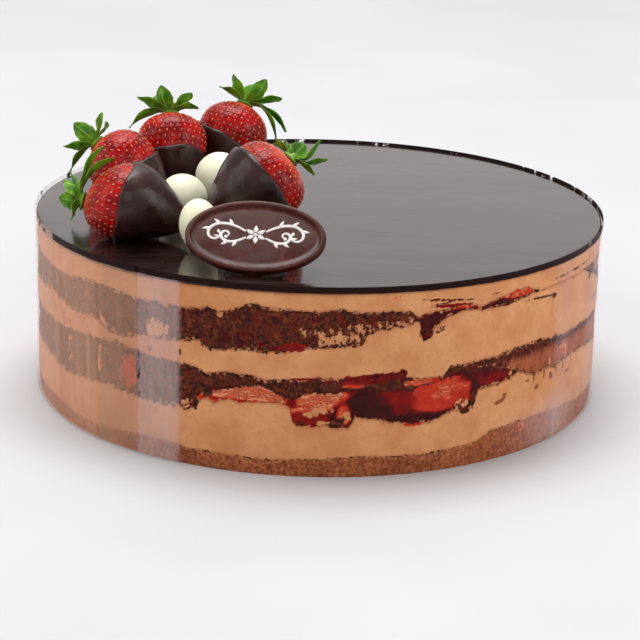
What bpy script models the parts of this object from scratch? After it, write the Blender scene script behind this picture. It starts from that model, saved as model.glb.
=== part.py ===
"""A round layered chocolate and strawberry mousse cake in its clear collar.

Two sponge layers and a strawberry filling lie in a caramel coloured mousse, on a thin sponge base and
under a dark glaze. Five half-dipped strawberries, three white chocolate balls and an oval chocolate
plaque stand on the front left of the glaze. The origin is the middle of the cake's underside, +Z is up
and the side that is best known faces -Y. An angle is in degrees round the cake, 0 at the front and
positive towards +X.
"""

import math

import bmesh
import bpy
import numpy as np
from mathutils import Vector

MM = 0.001

# The cake as a whole
CAKE_RADIUS = 114.6 * MM
GLAZE_TOP = 72.2 * MM
GAP = 0.3 * MM
STATIONS = 72
SHARP_ANGLE = 35  # degrees
RIM_BAND = 18 * MM  # the layers' ripples die out this far inside the side
EDGE_BAND = 4 * MM  # at least this much of a layer inside its edge slopes to its level middle
PAST_SIDE = 3 * MM  # how far a cutter reaches past what it cuts

# Heights at the side, as (angle, millimetres above the underside)
BASE_TOP = (
    (-180, 7), (-150, 8.2), (-120, 6), (-90, 7), (-60, 5.6), (-40, 6.5), (-28, 7.3), (-15, 5.8), (0, 6.8),
    (12, 7.3), (28, 7.6), (34, 11), (50, 12.2), (62, 10), (80, 7.5), (110, 6.4), (140, 8.4),
)
LOWER_SPONGE_TOP = (
    (-180, 40), (-150, 38.5), (-120, 40.5), (-90, 38), (-65, 37.5), (-50, 39), (-40, 40.6), (-25, 38.7),
    (-15, 37.8), (-5, 37.4), (5, 38.3), (15, 40), (20, 36.8), (25, 40), (38, 41.2), (47, 42.6), (60, 41),
    (80, 39.5), (110, 41), (150, 39),
)
LOWER_SPONGE_BOTTOM = (
    (-180, 31), (-165, 33), (-150, 27), (-115, 29), (-90, 25), (-65, 22.5), (-50, 21.8), (-43, 24.5),
    (-38, 22.5), (-25, 22.8), (-20, 31.2), (-10, 34.6), (-5, 30.8), (0, 33), (10, 34), (20, 33), (25, 37),
    (35, 37), (40, 33.5), (48, 30), (60, 31.5), (80, 27), (110, 29), (145, 27), (165, 32),
)
FILLING_BOTTOM = (
    (-25, 20), (-20, 26), (-15, 28.2), (-10, 28.3), (-5, 23.5), (0, 20), (5, 21.4), (10, 22.3), (15, 20.8),
    (20, 20.2), (25, 21), (30, 23), (35, 30.5), (40, 30.6),
)
UPPER_SPONGE_TOP = (
    (-180, 62.5), (-150, 64), (-120, 61.5), (-90, 62), (-63, 59.2), (-50, 61.3), (-35, 60.3), (-22, 61.8),
    (-11, 65.2), (-5, 63.7), (4, 64.3), (12, 63.6), (20, 62.5), (70, 62.5), (90, 62), (120, 64), (150, 62),
)
UPPER_SPONGE_BOTTOM = (
    (-180, 50), (-150, 47.5), (-120, 49), (-90, 47), (-62, 49.5), (-50, 48), (-40, 45), (-32, 47),
    (-25, 48.5), (-19, 46.5), (-10, 48), (-3, 49.8), (3, 51), (8, 52.2), (12, 57.5), (20, 58.8), (70, 57),
    (85, 50), (110, 48), (150, 49.5),
)
GLAZE_UNDERSIDE = (
    (-180, 70.4), (-120, 70.1), (-80, 69.6), (-60, 69.2), (-35, 69.5), (-15, 70.4), (20, 70.8), (90, 70.6),
)
SEAM_TOP = (
    (19, 61.2), (21, 62.3), (24, 62.6), (28, 64), (32, 62), (36, 64), (40, 65.4), (43, 65.8), (45, 63.8),
)
SEAM_BOTTOM = (
    (19, 58.5), (20, 53.5), (22, 56), (24, 59.4), (28, 61.5), (32, 60.6), (36, 60.7), (40, 61.3), (43, 62),
    (45, 62.8),
)

# Heights of the same surfaces in the middle of the cake
MID_BASE_TOP = 7 * MM
MID_LOWER_SPONGE = (30 * MM, 39.5 * MM)
MID_UPPER_SPONGE = (49 * MM, 62.5 * MM)
MID_GLAZE_UNDERSIDE = 70.4 * MM

# Where a layer comes to the side, as (angle, millimetres that its edge stays inside the side)
UPPER_SPONGE_INSET = ((-180, 0), (15, 0), (20, 34), (70, 34), (75, 0))

# The two pockets of filling that show at the side: their angles, how deep they go, and how much of their
# thickness is left at the side, part of the way in and at the end
FILLING_ANGLES = tuple(range(-25, 41, 5))
FILLING_DEPTH = 30 * MM
SEAM_ANGLES = tuple(range(19, 46, 2))
SEAM_DEPTH = 24 * MM
POCKET_SHARES = (1.0, 0.58, 0.16)
POCKET_MIDDLE = RIM_BAND
POCKET_THINNEST = 0.45 * MM
END_ROOM = 0.3  # degrees that a pocket's cutter reaches past its ends
CEILING_ROOM = 1 * MM  # how far a pocket keeps below the layer above it, inside the side
END_SPREAD = 2.5  # and how many times its usual room it has there

# The glaze's rounded edge and the collar of film
GLAZE_EDGE = 0.9 * MM
COLLAR_THICKNESS = 0.35 * MM
COLLAR_BOTTOM = 0.5 * MM
COLLAR_TOP = GLAZE_TOP + 1.1 * MM
COLLAR_START = -45
COLLAR_OVERLAP = 10
COLLAR_RAMP = 20  # degrees over which the outer end climbs over the inner one
COLLAR_STEP = 5

# Strawberries: crown and the point that the tip aims at in millimetres, with heights above the glaze
BERRIES = {
    "front_left": dict(
        crown=(-89.6, -52.2, 13.8), aim=(-49.7, -56.3, 6.4), length=40.9, width=29.6, shoulder=0.66,
        taper=0.84, bend=-4.1, dip=(0.37, 0.02, 0.02),
        leaves=((-7, 7.5, 1), (-8.3, 2, 4), (7.6, 19.9, -6), (11.5, 14.8, -8), (-3, -5, 9), (-6, 9, -10),
                (2, 8, -13))),
    "rear_left": dict(
        crown=(-90.5, 4, 22), aim=(-67, -4, 5), length=34, width=29, shoulder=0.68, dip=(0.56, 0.05, 0.0),
        leaves=((-9, 8, 1), (-13, -1, 4), (2, 12, -2), (-10, -11, 5), (4, 5, -11), (-5, -4, -11))),
    "middle": dict(
        crown=(-63.5, 36, 28.5), aim=(-60.5, 19, 2), length=32.5, width=28, shoulder=0.66,
        dip=(0.60, -0.06, 0.0),
        leaves=((-4, 12, 1), (-14, 7, 2), (9, 9, 1), (12, 3, 3), (-17, -6, 4), (6, 5, -11), (-7, 5, -11))),
    "rear_right": dict(
        crown=(-33.5, 55, 29), aim=(-45, 40, 2), length=34, width=28.5, shoulder=0.70, dip=(0.50, 0.0, -0.09),
        leaves=((-5, 13, 1), (-11, 7.5, 2), (9, 11, 1), (16, 3, 2), (18, -11, 5), (14, -15, 10), (3, 6, -12),
                (-8, 4, -10))),
    "front_right": dict(
        crown=(-12.2, -34.4, 27.3), aim=(-41.7, -45.3, 2.2), length=40.3, width=32.6, shoulder=0.58,
        dip=(0.30, -0.02, 0.0),
        leaves=((11, 6.9, -3), (14, 0.1, 0), (9.1, -5.1, 5), (-2.2, 4.6, -8), (5.2, 3.5, -10), (-7, 3, -9))),
}
UNEVEN = 0.035  # how far a berry is from round, as a share of its radius
SUNK = 1.2 * MM  # how much of a dipped berry's underside is flattened by its own weight
DIP_CLEARANCE = 0.45 * MM
DIP_THICKNESS = 1.2 * MM
BERRY_COLUMNS = 16
BERRY_ROWS = 8
DIP_ROWS = 4
LEAF_WIDTH = 7.4 * MM
LEAF_THICKNESS = 0.5 * MM
LEAF_ROWS = 4
LEAF_CLEARANCE = 0.9 * MM
HUB_RADIUS = 3.4 * MM

# White chocolate balls: middle on the glaze and half sizes, in millimetres
BALLS = (
    ((-45.2, -67.5), (7.6, 7.8, 9.7)),
    ((-53.7, -31.0), (9.9, 9.6, 9.8)),
    ((-41.0, 5.0), (10.2, 9.8, 10.0)),
)

# The oval plaque, which leans back on a dab of chocolate
PLAQUE_HALF_WIDTH = 25.8 * MM
PLAQUE_HALF_HEIGHT = 15.6 * MM
PLAQUE_THICKNESS = 3 * MM
PLAQUE_RIM_WIDTH = 2.2 * MM
PLAQUE_RIM_STEP = 0.7 * MM
PLAQUE_FOOT = (-23.4 * MM, -100.5 * MM)
PLAQUE_LEAN = 40  # degrees between the plaque and the glaze
PLAQUE_ROLL = -1.5
PLAQUE_SIDES = 44
DAB_BEHIND = 5.5 * MM  # from the plaque's foot to the middle of the dab
DAB_HALF = (12 * MM, 6 * MM, 5.5 * MM)
DAB_SIDES = 20

COLOURS = {
    "base": (0.24, 0.10, 0.05),
    "mousse": (0.56, 0.29, 0.15),
    "sponge": (0.085, 0.030, 0.016),
    "filling": (0.22, 0.010, 0.006),
    "chocolate": (0.020, 0.009, 0.007),
    "plaque": (0.062, 0.018, 0.014),
    "white": (0.82, 0.75, 0.50),
    "berry": (0.42, 0.012, 0.012),
    "leaf": (0.075, 0.19, 0.020),
    "film": (0.86, 0.86, 0.88),
}
ROUGHNESS = {
    "base": 0.8, "mousse": 0.6, "sponge": 0.85, "filling": 0.25, "chocolate": 0.15, "plaque": 0.35,
    "white": 0.4, "berry": 0.3, "leaf": 0.5, "film": 0.05,
}
FILM_ALPHA = 0.3


def clear_scene():
    for obj in list(bpy.data.objects):
        bpy.data.objects.remove(obj)


def material(kind):
    """The Principled material of one kind of food, made once."""
    found = bpy.data.materials.get(kind)
    if found:
        return found
    made = bpy.data.materials.new(kind)
    made.use_nodes = True
    shader = made.node_tree.nodes["Principled BSDF"]
    shader.inputs["Base Color"].default_value = (*COLOURS[kind], 1)
    shader.inputs["Roughness"].default_value = ROUGHNESS[kind]
    if kind == "film":
        shader.inputs["Alpha"].default_value = FILM_ALPHA
    return made


def solid(name, points, faces, kind):
    """A mesh object from points in metres and faces as tuples, with its normals set to face out."""
    mesh = bpy.data.meshes.new(name)
    mesh.from_pydata([tuple(map(float, p)) for p in points], [], faces)
    work = bmesh.new()
    work.from_mesh(mesh)
    bmesh.ops.recalc_face_normals(work, faces=work.faces)
    work.to_mesh(mesh)
    work.free()
    obj = bpy.data.objects.new(name, mesh)
    bpy.context.scene.collection.objects.link(obj)
    mesh.materials.append(material(kind))
    return obj


def as_cutter(obj):
    obj.hide_render = True
    obj.display_type = "WIRE"
    return obj


def cut(obj, cutter):
    """Takes the cutter's shape out of obj."""
    boolean = obj.modifiers.new("cut_" + cutter.name, "BOOLEAN")
    boolean.operation = "DIFFERENCE"
    boolean.object = cutter


def around(angle, radius, height):
    """The point at an angle round the cake."""
    turn = math.radians(angle)
    return (radius * math.sin(turn), -radius * math.cos(turn), height)


def at_angle(heights, angle):
    """The value at an angle, in metres, of a list of (angle, millimetres) that closes on itself."""
    angles, values = zip(*heights)
    return float(np.interp((angle + 180) % 360 - 180, angles, values, period=360)) * MM


def surface(rim, middle, shift=0.0):
    """A function of angle and radius: the side's height at the side, level in the middle."""
    def height(angle, radius):
        share = min(max((radius - CAKE_RADIUS + RIM_BAND) / RIM_BAND, 0), 1)
        return middle + share * (at_angle(rim, angle) - middle) + shift
    return height


def level(height):
    return lambda angle, radius: height


def inset(table):
    """A layer's edge as a function of angle."""
    return lambda angle: CAKE_RADIUS - at_angle(table, angle)


def rings(rows, flip_from):
    """Triangles between rows of points round the cake. From row flip_from on, the rows run inwards."""
    faces = []
    for row in range(rows - 1):
        for k in range(STATIONS):
            a, a2 = row * STATIONS + k, row * STATIONS + (k + 1) % STATIONS
            b, b2 = a + STATIONS, a2 + STATIONS
            if row < flip_from:
                faces += [(a, b, b2), (a, b2, a2)]
            else:
                faces += [(a, b, a2), (a2, b, b2)]
    faces.append(tuple(range(STATIONS)))
    faces.append(tuple(range((rows - 1) * STATIONS, rows * STATIONS)))
    return faces


def layer(name, edge, bottom, top, kind, room=False):
    """A closed layer of the cake between two surfaces, or the room for one, which reaches past the side."""
    gap = GAP if room else 0
    rows = []
    for height, by in ((bottom, -gap), (top, gap)):
        outer, inner, past = [], [], []
        for station in range(STATIONS):
            angle = 360 * station / STATIONS - 180
            out = edge(angle)
            inside = min(out - EDGE_BAND, CAKE_RADIUS - RIM_BAND)
            further = out + (PAST_SIDE if CAKE_RADIUS - out < 1 * MM else GAP)
            level_out = height(angle, out) + by
            past.append(around(angle, further, level_out))
            outer.append(around(angle, out, level_out))
            inner.append(around(angle, inside, height(angle, inside) + by))
        rows.append([inner, outer, past] if room else [inner, outer])
    rows = rows[0] + rows[1][::-1]
    points = [point for row in rows for point in row]
    return solid(name, points, rings(len(rows), len(rows) // 2), kind)


def glaze(underside):
    """The poured glaze, with its edge rounded off."""
    profile = (
        (CAKE_RADIUS - RIM_BAND, None),
        (CAKE_RADIUS, None),
        (CAKE_RADIUS, GLAZE_TOP - GLAZE_EDGE),
        (CAKE_RADIUS - 0.3 * GLAZE_EDGE, GLAZE_TOP - 0.3 * GLAZE_EDGE),
        (CAKE_RADIUS - GLAZE_EDGE, GLAZE_TOP),
    )
    points = []
    for radius, height in profile:
        for station in range(STATIONS):
            angle = 360 * station / STATIONS - 180
            points.append(around(angle, radius, underside(angle, radius) if height is None else height))
    return solid("chocolate_glaze", points, rings(len(profile), len(profile)), "chocolate")


def pocket(name, angles, top, bottom, ceiling, depth, spread=0.0):
    """A thin wedge of filling that runs in from the side. With spread it is the room cut for one."""
    radii = (CAKE_RADIUS, CAKE_RADIUS - POCKET_MIDDLE, CAKE_RADIUS - depth - spread)
    rows = list(zip(radii, POCKET_SHARES))
    if spread:
        rows.insert(0, (CAKE_RADIUS + PAST_SIDE, 1.0))
    first, last = angles[0] - END_ROOM * bool(spread), angles[-1] + END_ROOM * bool(spread)
    points, faces = [], []
    for radius, share in rows:
        for angle in angles:
            high, low = top(angle), bottom(angle)
            half = max((high - low) / 2 * share, POCKET_THINNEST)
            middle = (high + low) / 2
            if share < 1:
                middle = min(middle, ceiling(angle, radius) - CEILING_ROOM - half)
            at_end = angle in (angles[0], angles[-1])
            half += spread * (END_SPREAD if at_end else 1)
            wide = {angles[0]: first, angles[-1]: last}.get(angle, angle)
            points += [around(wide, radius, middle + half), around(wide, radius, middle - half)]
    count = len(angles)

    def corner(row, column, low):
        return 2 * (row * count + column) + low

    for row in range(len(rows) - 1):
        for column in range(count - 1):
            for low in (0, 1):
                a, b = corner(row, column, low), corner(row, column + 1, low)
                c, d = corner(row + 1, column + 1, low), corner(row + 1, column, low)
                faces += [(a, b, d), (b, c, d)]
        for column in (0, count - 1):
            a, b = corner(row, column, 0), corner(row, column, 1)
            c, d = corner(row + 1, column, 1), corner(row + 1, column, 0)
            faces += [(a, b, d), (b, c, d)]
    for row in (0, len(rows) - 1):
        for column in range(count - 1):
            a, b = corner(row, column, 0), corner(row, column, 1)
            c, d = corner(row, column + 1, 1), corner(row, column + 1, 0)
            faces += [(a, b, d), (b, c, d)]
    return solid(name, points, faces, "filling")


def cake_layers():
    """The sponge, mousse, filling and glaze, each clear of the next."""
    base_top = surface(BASE_TOP, MID_BASE_TOP)
    sponge_low = surface(LOWER_SPONGE_BOTTOM, MID_LOWER_SPONGE[0])
    sponge_high = surface(LOWER_SPONGE_TOP, MID_LOWER_SPONGE[1])
    upper_low = surface(UPPER_SPONGE_BOTTOM, MID_UPPER_SPONGE[0])
    upper_high = surface(UPPER_SPONGE_TOP, MID_UPPER_SPONGE[1])
    underside = surface(GLAZE_UNDERSIDE, MID_GLAZE_UNDERSIDE)
    side = inset(((-180, 0), (0, 0)))

    def raised(height, by):
        return lambda angle, radius: height(angle, radius) + by

    layer("base_sponge", side, level(0), base_top, "base")
    layer("lower_sponge", side, sponge_low, sponge_high, "sponge")
    lower_mousse = layer("lower_mousse", side, raised(base_top, GAP), raised(sponge_low, -GAP), "mousse")
    upper_mousse = layer("upper_mousse", side, raised(sponge_high, GAP), raised(underside, -GAP), "mousse")
    glaze(underside)

    sponge_edge = inset(UPPER_SPONGE_INSET)
    layer("upper_sponge", sponge_edge, upper_low, upper_high, "sponge")
    sponge_room = layer("upper_sponge_room", sponge_edge, upper_low, upper_high, "sponge", room=True)
    cut(upper_mousse, as_cutter(sponge_room))
    pockets = (
        ("strawberry_filling", FILLING_ANGLES, lambda angle: at_angle(LOWER_SPONGE_BOTTOM, angle) - GAP,
         lambda angle: at_angle(FILLING_BOTTOM, angle), sponge_low, FILLING_DEPTH, lower_mousse),
        ("filling_seam", SEAM_ANGLES, lambda angle: at_angle(SEAM_TOP, angle),
         lambda angle: at_angle(SEAM_BOTTOM, angle), underside, SEAM_DEPTH, upper_mousse),
    )
    for name, angles, top, bottom, ceiling, depth, mousse in pockets:
        pocket(name, angles, top, bottom, ceiling, depth)
        cut(mousse, as_cutter(pocket(name + "_room", angles, top, bottom, ceiling, depth, GAP)))


def collar():
    """The strip of clear film round the cake, whose outer end laps over the inner one."""
    inner = CAKE_RADIUS + GAP
    step_out = COLLAR_THICKNESS + 0.25 * MM
    points, faces = [], []
    turns = range(0, 360 + COLLAR_OVERLAP + 1, COLLAR_STEP)
    for turn in turns:
        climb = min(max((turn - 360 + COLLAR_RAMP) / COLLAR_RAMP, 0), 1)
        near = inner + step_out * climb
        for radius, height in ((near, COLLAR_BOTTOM), (near + COLLAR_THICKNESS, COLLAR_BOTTOM),
                               (near + COLLAR_THICKNESS, COLLAR_TOP), (near, COLLAR_TOP)):
            points.append(around(COLLAR_START + turn, radius, height))
    for k in range(len(turns) - 1):
        for side in range(4):
            a, b = 4 * k + side, 4 * k + (side + 1) % 4
            faces.append((a, b, b + 4, a + 4))
    last = 4 * (len(turns) - 1)
    faces += [(0, 1, 2, 3), (last, last + 1, last + 2, last + 3)]
    solid("clear_collar", points, faces, "film")


class Berry:
    """A strawberry's surface, from the crown to the tip, placed so that it rests on the glaze."""

    def __init__(self, crown, aim, length, width, shoulder, taper=0.68, bend=0.0, **_):
        self.crown = np.array(crown) * MM + (0, 0, GLAZE_TOP)
        self.axis = np.array(aim) * MM + (0, 0, GLAZE_TOP) - self.crown
        self.axis /= np.linalg.norm(self.axis)
        self.across = np.cross(self.axis, (0, 0, 1.0))
        self.across /= np.linalg.norm(self.across)
        self.up = np.cross(self.across, self.axis)
        self.length, self.half, self.bend = length * MM, width * MM / 2, bend * MM
        self.shoulder, self.taper = shoulder, taper
        reach = DIP_CLEARANCE + DIP_THICKNESS
        lowest = min(self.point(t, turn, reach)[2] for t in np.linspace(0.05, 1, 20)
                     for turn in np.linspace(0, 2 * math.pi, 24))
        self.crown[2] += GLAZE_TOP + GAP - SUNK - lowest

    def radius(self, t):
        wide = math.sin(math.pi * min(max(t, 0), 1) ** self.shoulder)
        return self.half * max(wide, 0) ** self.taper

    def spine(self, t):
        """The middle of the berry at t, on its bent axis."""
        return self.crown + self.axis * self.length * t - self.up * self.bend * math.sin(math.pi * t)

    def skin(self, t, turn):
        uneven = 1 + UNEVEN * math.cos(2 * turn + 9 * self.half / self.length)
        out = self.radius(t) * uneven
        return self.spine(t) + out * (self.up * math.cos(turn) + self.across * math.sin(turn))

    def point(self, t, turn, offset=0.0):
        """The point of the skin at t from the crown and a turn round the axis, moved out by offset."""
        here = self.skin(t, turn)
        if not offset:
            return here
        step = 0.01
        along = self.skin(min(t + step, 1), turn) - self.skin(max(t - step, 0), turn)
        round_it = self.skin(t, turn + step) - self.skin(t, turn - step)
        normal = np.cross(round_it, along)
        size = np.linalg.norm(normal)
        normal = self.axis if size < 1e-12 or t > 0.999 else normal / size
        if normal @ (here - self.crown - self.axis * self.length * 0.45) < 0:
            normal = -normal
        return here + normal * offset

    def clear(self, point, clearance):
        """The point, moved straight out from the axis to a clearance above the skin if it is nearer."""
        share = float(np.dot(np.array(point) - self.crown, self.axis)) / self.length
        share = min(share, 1)
        if share <= 0:
            return point
        centre = self.spine(share)
        out = np.array(point) - centre
        distance = np.linalg.norm(out)
        least = self.radius(share) * (1 + UNEVEN) + clearance
        return Vector(centre + out / distance * max(distance, least))

    def resting(self, point, height):
        """The point, raised to a height above the glaze if it is lower."""
        return (point[0], point[1], max(point[2], GLAZE_TOP + height))


def grid_faces(rows, columns, start=0):
    """The faces of a tube of rows and columns of points."""
    faces = []
    for row in range(rows - 1):
        for k in range(columns):
            a, b = start + row * columns + k, start + row * columns + (k + 1) % columns
            faces.append((a, b, b + columns, a + columns))
    return faces


def fan(ring_start, columns, tip):
    return [(ring_start + k, ring_start + (k + 1) % columns, tip) for k in range(columns)]


def fruit(name, berry, offset):
    """The fruit's closed surface, or one that lies offset outside it and as much nearer to the glaze."""
    rest = GAP + 0.75 * DIP_THICKNESS + DIP_CLEARANCE - offset
    turns = [2 * math.pi * k / BERRY_COLUMNS for k in range(BERRY_COLUMNS)]
    shares = [0.03 + 0.95 * (row / BERRY_ROWS) ** 1.35 for row in range(BERRY_ROWS + 1)]
    points = [berry.resting(berry.point(t, turn, offset), rest) for t in shares for turn in turns]
    points += [berry.resting(berry.point(end, 0, offset * way), rest) for end, way in ((0, -1), (1, 1))]
    faces = grid_faces(BERRY_ROWS + 1, BERRY_COLUMNS)
    faces += fan(0, BERRY_COLUMNS, len(points) - 2)
    faces += fan(BERRY_ROWS * BERRY_COLUMNS, BERRY_COLUMNS, len(points) - 1)
    return solid(name, points, faces, "berry")


def dip_line(turn, dip):
    """Where the chocolate begins, with the slant and the waves of a real dip."""
    mean, upward, across = dip
    waves = 0.012 * math.sin(3 * turn + 1) + 0.008 * math.sin(5 * turn)
    return mean + upward * math.cos(turn) + across * math.sin(turn) + waves


def berry_dip(name, berry, dip):
    """The chocolate that the berry's tip was dipped in: a cap over it, with the fruit cut out."""
    turns = [2 * math.pi * k / BERRY_COLUMNS for k in range(BERRY_COLUMNS)]
    points = []
    for row in range(DIP_ROWS + 1):
        share = (row / DIP_ROWS) ** 0.9
        thickness = DIP_THICKNESS * (1 if row else 0.6)
        for turn in turns:
            start = dip_line(turn, dip)
            here = berry.point(start + (0.98 - start) * share, turn, DIP_CLEARANCE + thickness)
            points.append(berry.resting(here, GAP))
    points.append(berry.resting(berry.point(1, 0, DIP_CLEARANCE + DIP_THICKNESS), GAP))
    points.append(berry.resting(berry.spine(dip[0]), GAP))
    faces = grid_faces(DIP_ROWS + 1, BERRY_COLUMNS)
    faces += fan(DIP_ROWS * BERRY_COLUMNS, BERRY_COLUMNS, len(points) - 2)
    faces += fan(0, BERRY_COLUMNS, len(points) - 1)
    dipped = solid("dip_" + name, points, faces, "chocolate")
    cut(dipped, as_cutter(fruit("fruit_room_" + name, berry, DIP_CLEARANCE)))


def leaf(name, berry, start, way, tip, across):
    """A thin wavy leaf from start, leaving along way and bending to the tip, with its width along across."""
    start, way, tip = Vector(start), Vector(way).normalized(), Vector(tip)
    reach = (tip - start).length
    turn_at = start + way * reach * 0.5
    columns, points = 3, []
    for row in range(LEAF_ROWS + 1):
        t = row / LEAF_ROWS
        centre = start.lerp(turn_at, t).lerp(turn_at.lerp(tip, t), t)
        along = (turn_at - start).lerp(tip - turn_at, t).normalized()
        normal = across.cross(along).normalized()
        half = LEAF_WIDTH / 2 * (0.3 + 2.5 * t) * (1 - t) ** 0.85 if row < LEAF_ROWS else 0.25 * MM
        for face in (0.5, -0.5):
            for column in range(columns):
                out = column - 1
                fold = 0.22 * half * abs(out) + 0.35 * MM * math.sin(7 * t + 2 * out)
                middle = berry.clear(centre + across * half * out + normal * fold, LEAF_CLEARANCE)
                points.append(middle + normal * face * LEAF_THICKNESS)
    faces = []
    step = 2 * columns
    for row in range(LEAF_ROWS):
        for low in (0, columns):
            for column in range(columns - 1):
                a = row * step + low + column
                faces += [(a, a + 1, a + step), (a + 1, a + step + 1, a + step)]
        for a, b in ((row * step, row * step + columns), (row * step + 2, row * step + columns + 2)):
            faces.append((a, b, b + step, a + step))
    for row in (0, LEAF_ROWS):
        for column in range(columns - 1):
            a = row * step + column
            faces.append((a, a + 1, a + 1 + columns, a + columns))
    return solid(name, points, faces, "leaf")


def calyx(name, berry, leaves):
    """The crown of leaves, joined on a small hub that sits on the berry."""
    back = -berry.axis
    centre = berry.crown + back * 1.15 * MM
    bpy.ops.mesh.primitive_cone_add(vertices=12, radius1=HUB_RADIUS, radius2=1.6 * MM, depth=1.6 * MM,
                                    location=Vector(centre) + Vector(back) * 0.1 * MM,
                                    rotation=Vector(back).to_track_quat("Z", "Y").to_euler())
    hub = bpy.context.object
    hub.name = hub.data.name = "calyx_" + name
    hub.data.materials.append(material("leaf"))
    bpy.ops.object.transform_apply(location=True, rotation=True, scale=True)
    group = bpy.data.collections.new("leaves_" + name)
    for index, (right, high, near) in enumerate(leaves):
        tip = centre + np.array((right, -near, high)) * MM
        toward = tip - centre
        outward = toward - back * (toward @ back)
        outward /= np.linalg.norm(outward)
        start = centre + outward * 0.8 * MM + back * 0.05 * MM
        across = Vector(np.cross(outward, back))
        blade = leaf(f"leaf_{name}_{index}", berry, start, outward + 0.35 * back, tip, across)
        bpy.context.scene.collection.objects.unlink(blade)
        group.objects.link(blade)
    union = hub.modifiers.new("leaves", "BOOLEAN")
    union.operation = "UNION"
    union.solver = "MANIFOLD"
    union.operand_type = "COLLECTION"
    union.collection = group
    bpy.context.view_layer.update()
    joined = bpy.data.meshes.new_from_object(hub.evaluated_get(bpy.context.evaluated_depsgraph_get()))
    hub.modifiers.clear()
    hub.data = joined
    for blade in list(group.objects):
        bpy.data.objects.remove(blade)
    bpy.data.collections.remove(group)


def balls():
    for index, ((x, y), half) in enumerate(BALLS, 1):
        bpy.ops.mesh.primitive_uv_sphere_add(segments=18, ring_count=10, radius=1)
        ball = bpy.context.object
        ball.name = ball.data.name = f"white_ball_{index}"
        ball.scale = [size * MM for size in half]
        ball.location = (x * MM, y * MM, GLAZE_TOP + GAP + half[2] * MM)
        bpy.ops.object.transform_apply(location=True, rotation=True, scale=True)
        ball.data.materials.append(material("white"))


def plaque_frame():
    """The lowest point of the plaque's back, and its directions across, up its slope and out of its face."""
    lean, roll = math.radians(PLAQUE_LEAN), math.radians(PLAQUE_ROLL)
    slope = np.array((0, math.cos(lean), math.sin(lean)))
    face = np.array((0, -math.sin(lean), math.cos(lean)))
    across = np.array((1.0, 0, 0)) * math.cos(roll) + slope * math.sin(roll)
    slope = slope * math.cos(roll) - np.array((1.0, 0, 0)) * math.sin(roll)
    foot = np.array((*PLAQUE_FOOT, GLAZE_TOP + GAP + 0.1 * MM))
    return foot, across, slope, face


def plate(name, grow):
    """The oval plate with its raised rim, standing on its lower edge, or one that is larger all round."""
    foot, across, slope, face = plaque_frame()
    step = 0.6 * MM
    # Each ring: how far it lies inside the oval, and its height above the plate's back.
    rings = (
        (step, -grow), (0, step - grow), (0, PLAQUE_THICKNESS - step + grow), (step, PLAQUE_THICKNESS + grow),
        (PLAQUE_RIM_WIDTH - step, PLAQUE_THICKNESS + grow),
        (PLAQUE_RIM_WIDTH, PLAQUE_THICKNESS - PLAQUE_RIM_STEP + grow),
    )
    points = []
    for inside, height in rings:
        for k in range(PLAQUE_SIDES):
            turn = 2 * math.pi * k / PLAQUE_SIDES
            right = (PLAQUE_HALF_WIDTH - inside + grow) * math.cos(turn)
            up = (PLAQUE_HALF_HEIGHT - inside + grow) * math.sin(turn) + PLAQUE_HALF_HEIGHT
            points.append(foot + across * right + slope * up + face * height)
    faces = grid_faces(len(rings), PLAQUE_SIDES)
    faces.append(tuple(range(PLAQUE_SIDES)))
    faces.append(tuple(range((len(rings) - 1) * PLAQUE_SIDES, len(rings) * PLAQUE_SIDES)))
    return solid(name, points, faces, "plaque")


def plaque():
    """The plaque, and the dab of chocolate behind its foot that holds it up."""
    plate("chocolate_plaque", 0)
    middle = np.array((PLAQUE_FOOT[0], PLAQUE_FOOT[1] + DAB_BEHIND, GLAZE_TOP + GAP))
    rings = [math.radians(angle) for angle in (0, 25, 50, 72)]
    points = []
    for rise in rings:
        for k in range(DAB_SIDES):
            turn = 2 * math.pi * k / DAB_SIDES
            way = (math.cos(rise) * math.cos(turn), math.cos(rise) * math.sin(turn), math.sin(rise))
            points.append(middle + np.array(way) * DAB_HALF)
    points.append(middle + (0, 0, DAB_HALF[2]))
    faces = grid_faces(len(rings), DAB_SIDES)
    faces += fan((len(rings) - 1) * DAB_SIDES, DAB_SIDES, len(points) - 1)
    faces.append(tuple(range(DAB_SIDES)))
    dab = solid("plaque_dab", points, faces, "chocolate")
    cut(dab, as_cutter(plate("plaque_room", GAP)))


def finish():
    """Applies the cuts, removes the cutters and shades each piece smooth up to its edges."""
    bpy.context.view_layer.update()
    graph = bpy.context.evaluated_depsgraph_get()
    done = [obj for obj in bpy.data.objects if obj.type == "MESH" and not obj.hide_render]
    meshes = {obj: bpy.data.meshes.new_from_object(obj.evaluated_get(graph)) for obj in done}
    for obj, mesh in meshes.items():
        obj.modifiers.clear()
        obj.data = mesh
        mesh.shade_smooth()
        mesh.set_sharp_from_angle(angle=math.radians(SHARP_ANGLE))
    for obj in list(bpy.data.objects):
        if obj.hide_render:
            bpy.data.objects.remove(obj)


def build():
    clear_scene()
    cake_layers()
    collar()
    for name, values in BERRIES.items():
        berry = Berry(**values)
        fruit("berry_" + name, berry, 0)
        berry_dip(name, berry, values["dip"])
        calyx(name, berry, values["leaves"])
    balls()
    plaque()
    finish()


build()
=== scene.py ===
"""A chocolate and strawberry mousse cake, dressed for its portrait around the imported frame.

The layers, glaze, film, fruit, leaves, balls and plaque are built again with fine relief, in the places
that the frame gives. Units are metres, with millimetres as MM. An angle is in degrees round the cake, 0 at
the front (-Y) and positive towards +X. Pieces of the cake's side carry how much sponge, mousse or jam shows
at each point, and their materials turn that into ragged patches.
"""

import math

import bpy
import numpy as np
from mathutils import Matrix, Vector, kdtree, noise


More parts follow.
